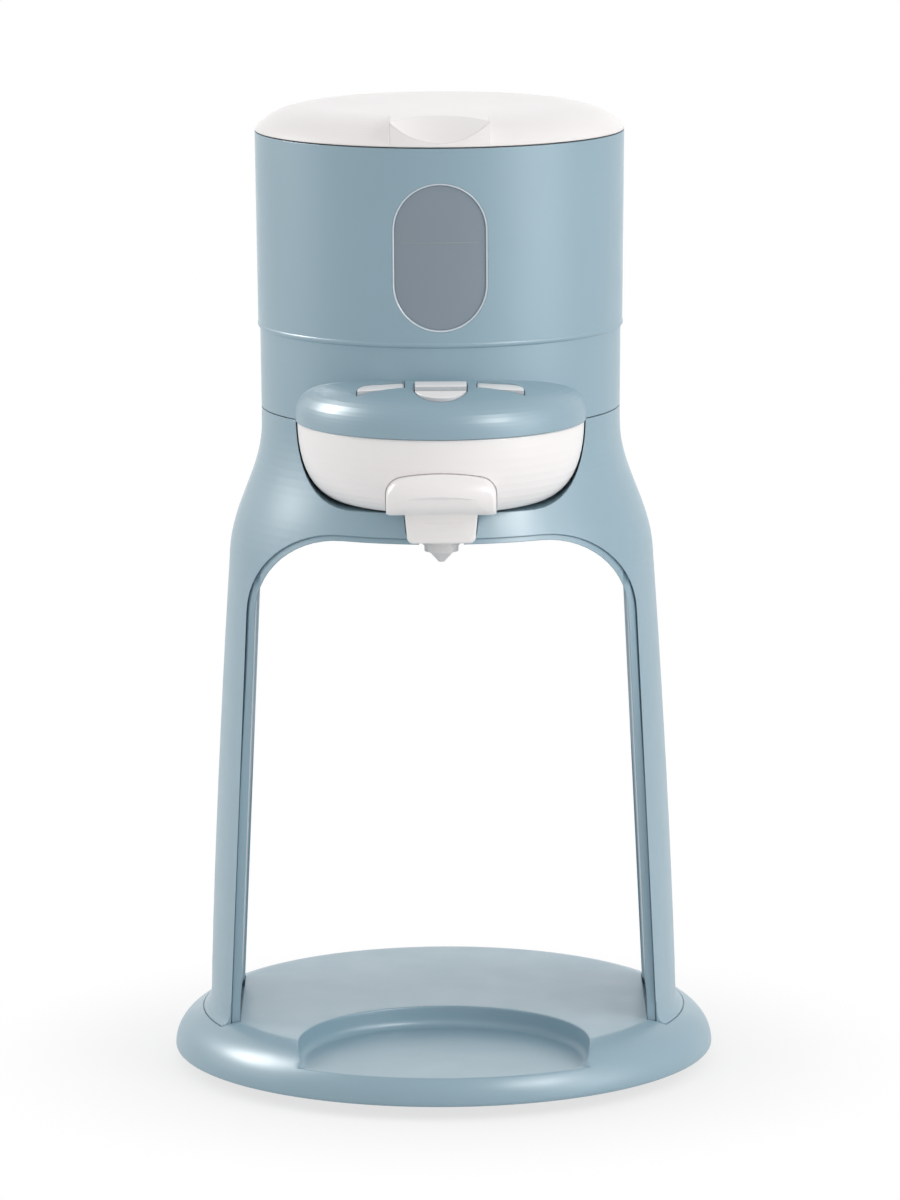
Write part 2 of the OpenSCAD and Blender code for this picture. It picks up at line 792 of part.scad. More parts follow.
module pump() color([0.30, 0.31, 0.33]) {
    difference() {
        union() {
            translate([pump_x, pump_y, chassis_top_z]) {
                cylinder(h = 17, r = pump_r - 1);
                translate([0, 0, 17])
                    cylinder(h = pump_top_z - chassis_top_z - 17, r = pump_r);
            }
            translate([pump_x, pump_y, pump_top_z])
                cylinder(h = 9, r = barb_r);
            translate([0, boiler_y, 0])
                transfer_line(barb_r, pump_distance() - pump_r - 4.5, pump_distance() - pump_r + 2);
        }
        translate([pump_x, pump_y, pump_top_z - 2])
            cylinder(h = 20, r = bore_r);
        translate([0, boiler_y, 0])
            transfer_line(bore_r, pump_distance() - pump_r - 8, pump_distance() - pump_r + 3);
    }
}

module power_board() color(board_green) {
    board_x = -boiler_r - 25;
    low_y = boiler_y - 22;
    translate([board_x, low_y, chassis_top_z]) {
        cube([board_t, power_board_l, power_board_h]);
        translate([board_t, 3, 6])
            cube([9, 12, 14]);
        translate([board_t, 18, 4])
            cube([7, 10, 8]);
        for (z = [17, 23])
            translate([board_t, 23, z])
                rotate([0, 90, 0])
                    cylinder(h = 8, r = 2.4);
    }
}

module cord_grommet() color(rubber_grey) {
    neck = cord_r + 1.2;
    rim = cord_r + 2.6;
    difference() {
        union() {
            intersection() {
                cord_line(neck, head_low_r - stand_wall - 3, head_low_r + 1);
                stand_body(-1, leg_seat_z, seam_z);
            }
            difference() {
                cord_line(rim, head_low_r - 4, head_low_r + 2.1);
                stand_body(0, leg_seat_z, seam_z);
            }
            intersection() {
                cord_line(rim, head_low_r - stand_wall - 3, head_low_r + 2);
                stand_body(stand_wall + 0.1, leg_seat_z, seam_z);
            }
        }
        cord_line(cord_r, 30, 90);
    }
}

// A rod along the cord's inlet between two distances from the head's axis
module cord_line(r, from, to) {
    translate([0, from, grommet_z])
        rotate([-90, 0, 0])
            cylinder(h = to - from, r = r);
}

module head_deck() color(dark_plastic) {
    post_places = [[-26, -68], [26, -68], [-24, -84], [24, -84]];
    difference() {
        union() {
            translate([0, 0, deck_z])
                cylinder(h = deck_top_z - deck_z, r = deck_r);
            translate([0, -drawer_y, seam_z])
                cylinder(h = deck_top_z - seam_z, r = hood_r - hood_wall - 0.4);
            for (p = post_places)
                translate([p[0], p[1], deck_z + 1])
                    cylinder(h = board_z - deck_z - 1, r = 2.2);
        }
        for (p = deck_screw_places)
            translate([p[0], p[1], deck_z - 1])
                cylinder(h = 10, r = deck_screw_r + 0.1);
        translate([pump_x, pump_y, deck_z - 1])
            cylinder(h = 10, r = hose_r + 1);
        translate([0, boiler_y, deck_z - 1])
            cylinder(h = 10, r = hose_r + 1);
        translate([0, -drawer_y, deck_z - 1])
            cylinder(h = 10, r = 8.1);
        translate([0, -drawer_y, deck_z + 1.2])
            cylinder(h = 10, r = 12.1);
    }
}

module deck_screws() color(steel) {
    for (p = deck_screw_places)
        screw(p[0], p[1], flange_z, deck_screw_r, 13, 2.6, 1.5);
}

module control_housing() color(blue) {
    difference() {
        union() {
            difference() {
                union() {
                    control_cone(0);
                    translate([0, -drawer_y, 0])
                        rotate_extrude()
                            polygon(concat([[0, seam_z]], hood_outline(0)));
                }
                translate([0, 0, seam_z - 1])
                    cylinder(h = ridge_z - seam_z + 2, r1 = head_low_r - head_wall,
                        r2 = ridge_r - ridge_step - head_wall);
                translate([0, -drawer_y, 0])
                    rotate_extrude()
                        polygon(concat([[0, seam_z - 1], [hood_r - hood_wall, seam_z - 1]],
                            hood_outline(hood_wall)));
            }
            intersection() {
                deck_posts();
                control_cone(head_wall - 0.6);
            }
        }
        for (p = deck_screw_places)
            translate([p[0], p[1], deck_z])
                cylinder(h = 12, r = deck_screw_r + 0.05);
        key_outlines(key_gap);
    }
}

// Radius of the control housing at a height
function control_r(z) =
    head_low_r + (ridge_r - ridge_step - head_low_r) * (z - seam_z) / (ridge_z - seam_z);

// The control housing's solid form, smaller all round by inset
module control_cone(inset) {
    translate([0, 0, seam_z])
        cylinder(h = ridge_z - seam_z, r1 = head_low_r - inset, r2 = ridge_r - ridge_step - inset);
}

// Posts that take the deck screws, each with a web out past the wall's inside
module deck_posts() {
    post_h = 12;
    web_t = 2.4;
    for (a = deck_screw_angles)
        rotate([0, 0, a])
            translate([deck_post_r, 0, deck_top_z]) {
                cylinder(h = post_h, r = 3.4);
                translate([0, -web_t / 2, 0])
                    cube([control_r(deck_top_z + post_h) - deck_post_r, web_t, post_h]);
            }
}

// Plans of the four keys, as prisms that are wider by grow on every side
module key_outlines(grow) {
    for (k = ["left", "right", "rear", "front"])
        key_plan(k, grow);
}

module key_plan(kind, grow) {
    low = seam_z + 5;
    tall = 60;
    if (kind == "rear")
        translate([-key_mid_w / 2 - grow, key_rear_y - key_depth - grow, low])
            cube([key_mid_w + 2 * grow, key_depth + 2 * grow, tall]);
    if (kind == "front")
        intersection() {
            translate([-key_mid_w / 2 - grow, key_front_y - key_front_depth - grow, low])
                cube([key_mid_w + 2 * grow, key_front_depth + 2 * grow, tall]);
            translate([0, key_front_y - key_front_depth + front_round_r(), low])
                cylinder(h = tall, r = front_round_r() + grow);
        }
    if (kind == "left" || kind == "right")
        mirror([kind == "left" ? 1 : 0, 0, 0])
            side_plan(grow, low, tall);
}

// Radius of the front key's round front, through its two rear corners
function front_round_r() = (pow(key_mid_w / 2, 2) + pow(key_front_depth, 2)) / (2 * key_front_depth);

// Plan of the right key: its outer rear corner is well rounded
module side_plan(grow, low, tall) {
    round_r = 6;
    near_y = key_side_y - key_depth - grow;
    width = key_side_w + 2 * grow;
    depth = key_depth + 2 * grow;
    translate([key_side_x - grow, near_y, low]) {
        cube([width, depth - round_r, tall]);
        cube([width - round_r, depth, tall]);
        intersection() {
            translate([width - round_r, depth - round_r, 0])
                cylinder(h = tall, r = round_r);
            cube([width, depth, tall]);
        }
    }
}

// A key: its plan, cut off below and by a sloping top that is flush with the hood at its rear edge
module key_cap(kind, rear_y, mid_x, tilt) {
    rear_z = hood_height(norm([mid_x, rear_y + drawer_y])) + key_proud;
    intersection() {
        key_plan(kind, 0);
        translate([0, rear_y, rear_z])
            rotate([tilt, 0, 0])
                translate([-100, -100, -100])
                    cube([200, 200, 100]);
        translate([-100, -200, key_bottom_z])
            cube([200, 200, 60]);
    }
}

// Lug that keeps a key from coming out
module key_lug(x, y) {
    translate([x - 1.5, y - 1, key_bottom_z])
        cube([3, 2, key_lug_t]);
}

module key_rear() color(white) {
    key_cap("rear", key_rear_y, 0, 3.8);
    for (side = [-1, 1])
        key_lug(side * key_mid_w / 2, key_rear_y - 4);
}

module key_front() color(white) {
    key_cap("front", key_front_y, 0, 14.3);
    for (side = [-1, 1])
        key_lug(side * (key_mid_w / 2 - 0.2), key_front_y - 2);
}

module key_left() color(white) {
    key_cap("left", key_side_y, key_side_x + key_side_w / 2, 4.7);
    key_lug(-key_side_x, key_side_y - 4);
    key_lug(-key_side_x - key_side_w / 2, key_side_y - key_depth + 0.6);
}

module key_right() color(white) {
    key_cap("right", key_side_y, key_side_x + key_side_w / 2, 4.7);
    key_lug(key_side_x, key_side_y - 4);
    key_lug(key_side_x + key_side_w / 2, key_side_y - key_depth + 0.6);
}

module key_board() color(board_green) {
    board_half = key_side_x + key_side_w + 2.8;
    intersection() {
        translate([-board_half, key_front_y - key_front_depth - 3, board_z])
            cube([2 * board_half, key_side_y + 8 - key_front_y + key_front_depth, board_t]);
        translate([0, -drawer_y, board_z - 1])
            cylinder(h = 10, r = hood_r - hood_wall - 2.6);
    }
}

module key_switches() color(dark_plastic) {
    side_x = key_side_x + key_side_w / 2;
    for (p = [[0, key_rear_y - key_depth / 2], [0, key_front_y - 3], [-side_x, key_side_y - key_depth / 2],
            [side_x, key_side_y - key_depth / 2]])
        translate([p[0] - 3, p[1] - 3, board_z + board_t]) {
            cube([6, 6, switch_h - 0.6]);
            translate([3, 3, 0])
                cylinder(h = switch_h, r = 1.7);
        }
}

module water_outlet() color(white) {
    translate([0, -drawer_y, 0])
        difference() {
            union() {
                translate([0, 0, deck_z + 0.2])
                    cylinder(h = 5, r = 8);
                translate([0, 0, deck_z + 1.2])
                    cylinder(h = 4, r = 12);
                translate([0, 0, deck_z + 5])
                    cylinder(h = hose_run_z - hose_bend_r - deck_z - 5.4, r = barb_r);
            }
            translate([0, 0, deck_z + 1.6])
                cylinder(h = 2, r = 6.4);
            translate([0, 0, deck_z + 1.6])
                cylinder(h = 30, r = bore_r);
            for (a = [0:60:300])
                rotate([0, 0, a])
                    translate([4.2, 0, deck_z - 1])
                        cylinder(h = 4, r = 0.8);
        }
}

module inlet_hose() color(hose_white) {
    low_z = pump_top_z + 1;
    high_z = tank_floor_z - 5;
    translate([pump_x, pump_y, low_z])
        difference() {
            cylinder(h = high_z - low_z, r = hose_r);
            translate([0, 0, -1])
                cylinder(h = high_z - low_z + 2, r = hose_in_r);
        }
}

module transfer_hose() color(hose_white) {
    from = boiler_r + 0.8;
    to = pump_distance() - pump_r - 0.4;
    translate([0, boiler_y, 0])
        difference() {
            transfer_line(hose_r, from, to);
            transfer_line(hose_in_r, from - 2, to + 2);
        }
}

// The outlet hose's route as a solid of radius r: up from the boiler, forward, and down to the water outlet
module outlet_route(r, low_a, low_b) {
    rise_z = hose_run_z - hose_bend_r;
    translate([0, boiler_y, low_a])
        cylinder(h = rise_z - low_a, r = r);
    translate([0, -drawer_y, low_b])
        cylinder(h = rise_z - low_b, r = r);
    translate([0, hose_bend_r - drawer_y, hose_run_z])
        rotate([-90, 0, 0])
            cylinder(h = boiler_y + drawer_y - 2 * hose_bend_r, r = r);
    translate([0, boiler_y - hose_bend_r, rise_z])
        rotate([90, 0, 90])
            rotate_extrude(angle = 90)
                translate([hose_bend_r, 0])
                    circle(r = r);
    translate([0, hose_bend_r - drawer_y, rise_z])
        rotate([90, 0, 90])
            rotate_extrude(angle = 90, start = 90)
                translate([hose_bend_r, 0])
                    circle(r = r);
}

module outlet_hose() color(hose_white) {
    low_a = boiler_top_z + 0.5;
    low_b = deck_z + 5.6;
    difference() {
        outlet_route(hose_r, low_a, low_b);
        outlet_route(hose_in_r, low_a - 1, low_b - 1);
    }
}

module tank_housing() color(blue) {
    spigot_h = 5;
    spigot_out_r = min(control_r(ridge_z - spigot_h), control_r(ridge_z)) - head_wall - 0.3;
    difference() {
        union() {
            difference() {
                tank_housing_body(0);
                translate([0, 0, ridge_z - 1])
                    cylinder(h = tank_ledge_z - ridge_z + 1, r1 = ridge_r - head_wall,
                        r2 = head_top_r - head_wall);
                translate([0, 0, tank_ledge_z])
                    cylinder(h = 10, r = tank_flange_r + fit);
            }
            translate([0, 0, ridge_z - spigot_h])
                difference() {
                    cylinder(h = spigot_h + 2, r = spigot_out_r);
                    translate([0, 0, -1])
                        cylinder(h = spigot_h + 4, r = spigot_out_r - 1.6);
                }
            translate([0, 0, ridge_z])
                difference() {
                    cylinder(h = 2, r = ridge_r - 0.5);
                    translate([0, 0, -1])
                        cylinder(h = 4, r = spigot_out_r - 1.6);
                }
            hinge_ears();
        }
        obround(0, -base_r, 0);
        difference() {
            obround(0.8, -base_r, 0);
            tank_housing_body(0.5);
        }
    }
}

// Ears at the rear that hold the hinge pin
module hinge_ears() {
    for (side = [-1, 1])
        difference() {
            translate([side > 0 ? ear_in : -ear_out, 0, 0])
                rotate([90, 0, 90]) {
                    linear_extrude(ear_out - ear_in)
                        polygon([[head_top_r - 2.2, hinge_z - 11], [head_top_r, hinge_z - 11],
                            [hinge_y + knuckle_r, hinge_z], [hinge_y, hinge_z + 1],
                            [head_top_r - 2.2, hinge_z + 1]]);
                    translate([hinge_y, hinge_z, 0])
                        cylinder(h = ear_out - ear_in, r = knuckle_r);
                }
            pin_line(pin_r + 0.02, 40);
            translate([0, 0, ridge_z])
                cylinder(h = 200, r = tank_flange_r + 0.5);
        }
}

// A rod along the hinge axis
module pin_line(r, length) {
    translate([-length / 2, hinge_y, hinge_z])
        rotate([0, 90, 0])
            cylinder(h = length, r = r);
}

module hinge_pin() color(steel) {
    pin_line(pin_r, 2 * ear_out);
}

module window_lens() color(smoke) {
    difference() {
        union() {
            intersection() {
                obround(-fit, -base_r, 0);
                tank_housing_body(0.7);
            }
            intersection() {
                obround(2, -base_r, 0);
                tank_housing_body(head_wall + 0.1);
            }
        }
        tank_housing_body(head_wall + 1.1);
    }
}

module water_tank() color(clear) {
    rim_t = 1.8;
    corner = 3;
    in_corner = 2;
    straight_z = ridge_z + 3;
    in_floor_z = tank_floor_z + tank_floor_t;
    in_low_r = tank_low_out_r - tank_wall;
    difference() {
        union() {
            rotate_extrude()
                polygon(concat([[0, tank_floor_z]],
                    oval(tank_low_out_r - corner, tank_floor_z + corner, corner, corner, -90, 0, 6),
                    [[tank_low_out_r, straight_z], [tank_top_out_r, tank_ledge_z + 0.5],
                        [0, tank_ledge_z + 0.5]]));
            translate([0, 0, tank_ledge_z])
                cylinder(h = rim_t, r = tank_flange_r);
        }
        rotate_extrude()
            polygon(concat([[0, in_floor_z]],
                oval(in_low_r - in_corner, in_floor_z + in_corner, in_corner, in_corner, -90, 0, 5),
                [[in_low_r, straight_z], [tank_top_out_r - tank_wall, tank_ledge_z + 5],
                    [0, tank_ledge_z + 5]]));
        translate([pump_x, pump_y, tank_floor_z - 1])
            cylinder(h = 10, r = 4.6);
    }
}

module outlet_valve() color(dark_plastic) {
    floor_top = tank_floor_z + tank_floor_t;
    translate([pump_x, pump_y, 0])
        difference() {
            union() {
                translate([0, 0, tank_floor_z - 14])
                    cylinder(h = 12, r = barb_r);
                translate([0, 0, tank_floor_z - 3.4])
                    cylinder(h = 3.4, r = 7);
                translate([0, 0, tank_floor_z])
                    cylinder(h = tank_floor_t, r = 4.5);
                translate([0, 0, floor_top])
                    cylinder(h = 0.8, r = 6.4);
                translate([0, 0, floor_top + 0.8])
                    cylinder(h = 1.6, r1 = 5.4, r2 = 4.4);
            }
            translate([0, 0, tank_floor_z - 15])
                cylinder(h = 16.6, r = bore_r);
            for (a = [0:60:300])
                rotate([0, 0, a])
                    translate([2.8, 0, tank_floor_z + 1.5])
                        cylinder(h = 10, r = 0.6);
            translate([0, 0, tank_floor_z + 1.2])
                cylinder(h = 1.6, r = 3.6);
        }
}

module lid() color(white) {
    roof_z = lid_top_z - 2.4;
    difference() {
        union() {
            rotate_extrude()
                polygon(concat([[0, lid_z], [head_top_r, lid_z]],
                    curve([head_top_r, lid_z + 0.3], [head_top_r - 4.6, lid_z + lid_rise * 0.58],
                        [head_top_r - 10.8, lid_top_z], [lid_flat_r, lid_top_z], 14),
                    [[0, lid_top_z]]));
            intersection() {
                translate([-tab_w / 2, -head_top_r, lid_z])
                    cube([tab_w, 40, lid_rise]);
                translate([0, 0, lid_z])
                    cylinder(h = lid_rise, r = head_top_r);
            }
            lid_knuckle();
        }
        scoop();
        rotate_extrude()
            polygon([[0, lid_z - 1], [spigot_r + 0.6, lid_z - 1], [spigot_r + 0.6, lid_z],
                [spigot_r - 5, lid_z + 2.4], [lid_flat_r - 2, roof_z], [0, roof_z]]);
        difference() {
            pin_line(pin_r + pin_gap, 40);
            cylinder(h = through, r = 10);
        }
    }
    rotate_extrude()
        polygon([[spigot_r - 1.6, lid_z - spigot_depth], [spigot_r, lid_z - spigot_depth], [spigot_r, lid_z + 0.2],
            [spigot_r + 0.8, lid_z + 0.2], [spigot_r + 0.8, lid_z + 1.2], [spigot_r - 1.6, lid_z + 1.9]]);
}

// The scoop that gives the tab's front edge its dip, sloping up to the flat top
module scoop() {
    slope = 16.7;
    translate([0, -head_top_r, lid_z + scoop_rise])
        rotate([slope, 0, 0])
            translate([0, 60, scoop_r])
                rotate([90, 0, 0])
                    cylinder(h = 120, r = scoop_r);
}

// The knuckle at the lid's rear, round the hinge pin
module lid_knuckle() {
    translate([-knuckle_half, 0, 0])
        rotate([90, 0, 90]) {
            linear_extrude(2 * knuckle_half)
                polygon([[head_top_r - 9, lid_z + 0.3], [head_top_r + 0.8, lid_z + 0.3], [hinge_y, hinge_z],
                    [hinge_y + knuckle_r, hinge_z], [hinge_y + knuckle_r - 0.3, hinge_z + 2],
                    [hinge_y + 0.6, hinge_z + 5], [head_top_r - 2, lid_z + 4.6], [head_top_r - 9, lid_z + 6]]);
            translate([hinge_y, hinge_z, 0])
                cylinder(h = 2 * knuckle_half, r = knuckle_r);
        }
}

// The drawer bowl as a solid of revolution, grown by grow
module bowl_body(grow, top_z) {
    side = bowl_outline(grow);
    translate([0, -drawer_y, 0])
        rotate_extrude()
            polygon(concat([[0, top_z], [bowl_r + grow, top_z]], side, [[0, side[12][1]]]));
}

module drawer_shell() color(white) {
    ledge_z = bowl_top_z - 2;
    difference() {
        bowl_body(0, bowl_top_z + 0.001);
        bowl_body(-bowl_wall, seam_z + 5);
        translate([0, -drawer_y, ledge_z])
            cylinder(h = 10, r = bowl_r - bowl_wall + 0.8);
        translate([0, -nozzle_y, 0])
            cylinder(h = bowl_floor_z + 4, r = 6.1);
        difference() {
            union() {
                grip_prism(slide_gap);
                neck_prism(slide_gap);
            }
            bowl_body(-0.6, seam_z);
        }
    }
}

module drawer_handle() color(white) {
    out_r = bowl_r + handle_reach;
    top_z = bowl_floor_z + handle_rise;
    difference() {
        intersection() {
            union() {
                grip_prism(0);
                neck_prism(0);
            }
            translate([0, -drawer_y, 0])
                rotate_extrude()
                    polygon(concat(
                        curve([bowl_r - 2, top_z + 1.4], [out_r - 1.5, top_z - 1], [out_r + 2.4, top_z - 8],
                            [out_r - 2.4, bowl_floor_z + 4.6], 8),
                        curve([out_r - 3.4, bowl_floor_z + 3.4], [out_r - 8, bowl_floor_z - 1],
                            [bowl_r - 8, bowl_floor_z + 1.2], [bowl_r - 8.8, bowl_floor_z - 4], 6),
                        [[bowl_r - 10, neck_z], [nozzle_y - drawer_y + nozzle_r + 1, neck_z],
                            [nozzle_y - drawer_y + nozzle_r + 1, top_z + 1.4]]));
        }
        bowl_body(-0.6, seam_z + 5);
    }
}

module powder_funnel() color(clear) {
    wall = 1.6;
    ledge_z = bowl_top_z - 2;
    out = -bowl_wall - 0.3;
    difference() {
        union() {
            difference() {
                bowl_body(out, seam_z + 5);
                bowl_body(out - wall, seam_z + 6);
                translate([0, -drawer_y, ledge_z + 0.7])
                    cylinder(h = 20, r = bowl_r);
            }
            translate([0, -drawer_y, ledge_z])
                difference() {
                    cylinder(h = 1.4, r = bowl_r - bowl_wall + 0.6);
                    translate([0, 0, -1])
                        cylinder(h = 5, r = bowl_r + out - wall);
                }
            translate([0, -nozzle_y, bowl_floor_z - 8])
                cylinder(h = 11.2, r = 5.8);
        }
        translate([0, -nozzle_y, bowl_floor_z - 10])
            cylinder(h = 30, r = 3.8);
    }
}

module nozzle() color(clear) {
    translate([0, -nozzle_y, 0])
        difference() {
            rotate_extrude()
                polygon([[0, nozzle_tip_z], [1.1, nozzle_tip_z], [5, nozzle_tip_z + 4.2],
                    [6.4, nozzle_tip_z + 4.2], [6.5, nozzle_tip_z + 6.6], [nozzle_r, nozzle_tip_z + 6.8],
                    [nozzle_r, neck_z - 0.2], [6.7, neck_z], [6.7, bowl_floor_z - slide_gap],
                    [0, bowl_floor_z - slide_gap]]);
            translate([0, 0, bowl_floor_z - 8.2])
                cylinder(h = 30, r = 5.8 + 0.05);
            translate([0, 0, nozzle_tip_z + 4])
                cylinder(h = bowl_floor_z - 8.2 - nozzle_tip_z - 3.9, r1 = 2.4, r2 = 5.2);
            translate([0, 0, nozzle_tip_z - 1])
                cylinder(h = 8, r = 0.8);
        }
}

base_cover();
base_plate();
rubber_feet();
base_screws();
leg_anchors();
leg_screws();
stand_shell();
arch_liner();
drawer_bay();
drawer_runners();
chassis();
chassis_screws();
boiler();
heating_element();
pump();
power_board();
cord_grommet();
head_deck();
deck_screws();
control_housing();
key_board();
key_switches();
water_outlet();
inlet_hose();
transfer_hose();
outlet_hose();
tank_housing();
window_lens();
water_tank();
outlet_valve();
hinge_pin();
lid();
drawer_shell();
drawer_handle();
powder_funnel();
nozzle();
key_left();
key_right();
key_rear();
key_front();
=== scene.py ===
import math
import bpy
from mathutils import Matrix, Vector


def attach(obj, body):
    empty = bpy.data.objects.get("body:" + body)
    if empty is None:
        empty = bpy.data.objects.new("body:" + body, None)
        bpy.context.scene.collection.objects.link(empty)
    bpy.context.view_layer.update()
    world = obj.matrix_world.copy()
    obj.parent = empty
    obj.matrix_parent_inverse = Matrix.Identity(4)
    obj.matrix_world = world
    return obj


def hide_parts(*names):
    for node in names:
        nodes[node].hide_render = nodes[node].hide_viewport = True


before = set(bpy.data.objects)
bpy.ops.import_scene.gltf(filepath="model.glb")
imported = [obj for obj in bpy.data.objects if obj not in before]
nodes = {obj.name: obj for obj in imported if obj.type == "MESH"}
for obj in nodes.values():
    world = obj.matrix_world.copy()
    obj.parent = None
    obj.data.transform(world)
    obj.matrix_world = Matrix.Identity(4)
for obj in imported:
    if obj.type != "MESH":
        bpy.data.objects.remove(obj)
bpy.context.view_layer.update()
MM = 0.001

# Camera: a long lens two and a half metres in front of the warmer, ten degrees
# above level, framed as the photograph is: the image is taken as 900 x 1200.
camera_data = bpy.data.cameras.new("camera")
camera_data.lens = 197.18
camera_data.sensor_width = 36
camera_data.shift_x = 0.006925
camera_data.clip_end = 20
camera = bpy.data.objects.new("camera", camera_data)
bpy.context.scene.collection.objects.link(camera)
camera_place = (0, -2.5119, 0.6267)
camera_tilt, camera_roll = math.radians(79.94), -0.0049
camera.matrix_world = (
    Matrix.Translation(camera_place)
    @ Matrix.Rotation(camera_tilt, 4, "X")
    @ Matrix.Rotation(camera_roll, 4, "Z")
)
bpy.context.scene.camera = camera
bpy.context.scene.view_settings.view_transform = "Standard"

# Lamps: broad soft boxes on the right and on the left light the warmer. The other
# four only draw highlights: two on its round edges, one down the right of the head
# and one as a sheen on what faces up.
warmer_middle = Vector((0, 0, 0.15))


def soft_box(name, azimuth, height, distance, size, power, highlight_only=False):
    """Adds a square soft box that points at the warmer. Its azimuth is counted from the
    front to the right and its height above level, both in degrees."""
    turn, rise = math.radians(azimuth), math.radians(height)
    level = math.cos(rise)
    away = Vector((math.sin(turn) * level, -math.cos(turn) * level, math.sin(rise)))
    lamp_data = bpy.data.lights.new(name, "AREA")
    lamp_data.shape = "SQUARE"
    lamp_data.size = size
    lamp_data.energy = power
    lamp = bpy.data.objects.new(name, lamp_data)
    bpy.context.scene.collection.objects.link(lamp)
    lamp.location = warmer_middle + away * distance
    lamp.rotation_euler = away.to_track_quat("Z", "Y").to_euler()
    lamp.visible_diffuse = not highlight_only


soft_box("right_soft_box", 62, 25, 1.3, 1.1, 6.2)
soft_box("left_soft_box", -95, 18, 1.3, 0.8, 3.2)
soft_box("left_highlight", -107, 35, 1.3, 0.5, 21, highlight_only=True)
soft_box("right_highlight", 45, 32, 1.3, 0.35, 10, highlight_only=True)
soft_box("right_sheen", 64, 6, 1.6, 0.9, 6, highlight_only=True)
soft_box("rear_sheen", 180, 17, 1.6, 1.3, 2.5, highlight_only=True)

# Surround: a white studio. It shows as plain white, also in reflections and
# through clear plastic, and lights the warmer at a lower level.


def seen_directly(tree):
    """A value of 1 for rays that show the surround itself: camera, glossy and clear ones."""
    ray = tree.nodes.new("ShaderNodeLightPath")
    value = ray.outputs["Is Camera Ray"]
    for kind in ("Is Glossy Ray", "Is Transmission Ray"):
        either = tree.nodes.new("ShaderNodeMath")
        either.operation = "MAXIMUM"
        tree.links.new(value, either.inputs[0])
        tree.links.new(ray.outputs[kind], either.inputs[1])
        value = either.outputs[0]
    return value


world = bpy.data.worlds.new("surround")
bpy.context.scene.world = world
world.use_nodes = True
sky = world.node_tree
light_level, shown_level = 0.7, 1.0
surround_strength = sky.nodes.new("ShaderNodeMapRange")
surround_strength.inputs["To Min"].default_value = light_level
surround_strength.inputs["To Max"].default_value = shown_level
sky.links.new(seen_directly(sky), surround_strength.inputs["Value"])
sky.links.new(surround_strength.outputs["Result"], sky.nodes["Background"].inputs["Strength"])
sky.nodes["Background"].inputs["Color"].default_value = (1, 1, 1, 1)

# Floor: a white sweep. Close to the warmer it keeps a pale contact shadow, and
# further out it is the plain white of the surround.
floor_r, floor_drop = 3, 0.0002
shadow_r, plain_r = 0.09, 0.2
bpy.ops.object.select_all(action="DESELECT")
bpy.ops.mesh.primitive_circle_add(
    vertices=96, radius=floor_r, fill_type="NGON", location=(0, 0, -floor_drop)
)
floor = bpy.context.object
floor.name = "floor"
floor_material = bpy.data.materials.new("white_sweep")
floor_material.use_nodes = True
tree = floor_material.node_tree
floor_shader = tree.nodes["Principled BSDF"]
floor_shader.inputs["Base Color"].default_value = (0.82, 0.82, 0.82, 1)
floor_shader.inputs["Roughness"].default_value = 0.9
floor_shader.inputs["Specular IOR Level"].default_value = 0.1
paper = tree.nodes.new("ShaderNodeEmission")
paper.inputs["Strength"].default_value = 1
floor_place = tree.nodes.new("ShaderNodeTexCoord")
floor_distance = tree.nodes.new("ShaderNodeVectorMath")
floor_distance.operation = "LENGTH"
tree.links.new(floor_place.outputs["Object"], floor_distance.inputs[0])
fade = tree.nodes.new("ShaderNodeMapRange")
fade.interpolation_type = "SMOOTHSTEP"
fade.inputs["From Min"].default_value = shadow_r
fade.inputs["From Max"].default_value = plain_r
fade.inputs["To Min"].default_value = 0.72
fade.inputs["To Max"].default_value = 1.0
tree.links.new(floor_distance.outputs["Value"], fade.inputs["Value"])
shown = tree.nodes.new("ShaderNodeMath")
shown.operation = "MULTIPLY"
tree.links.new(fade.outputs["Result"], shown.inputs[0])
tree.links.new(seen_directly(tree), shown.inputs[1])
sweep = tree.nodes.new("ShaderNodeMixShader")
tree.links.new(shown.outputs[0], sweep.inputs["Fac"])
tree.links.new(floor_shader.outputs["BSDF"], sweep.inputs[1])
tree.links.new(paper.outputs["Emission"], sweep.inputs[2])
tree.links.new(sweep.outputs["Shader"], tree.nodes["Material Output"].inputs["Surface"])
floor.data.materials.append(floor_material)

# Base plate, feet and screws: a plain black plate closes the base from below, four
# rubber feet sit in seats in it, and six zinc-plated screws hold it to the bosses
# of the cover.


def srgb(red, green, blue):
    """A colour as it is read off a screen, 0 to 255, made linear."""
    return tuple(
        (c / 255 / 12.92) if c < 11 else ((c / 255 + 0.055) / 1.055) ** 2.4
        for c in (red, green, blue)
    )


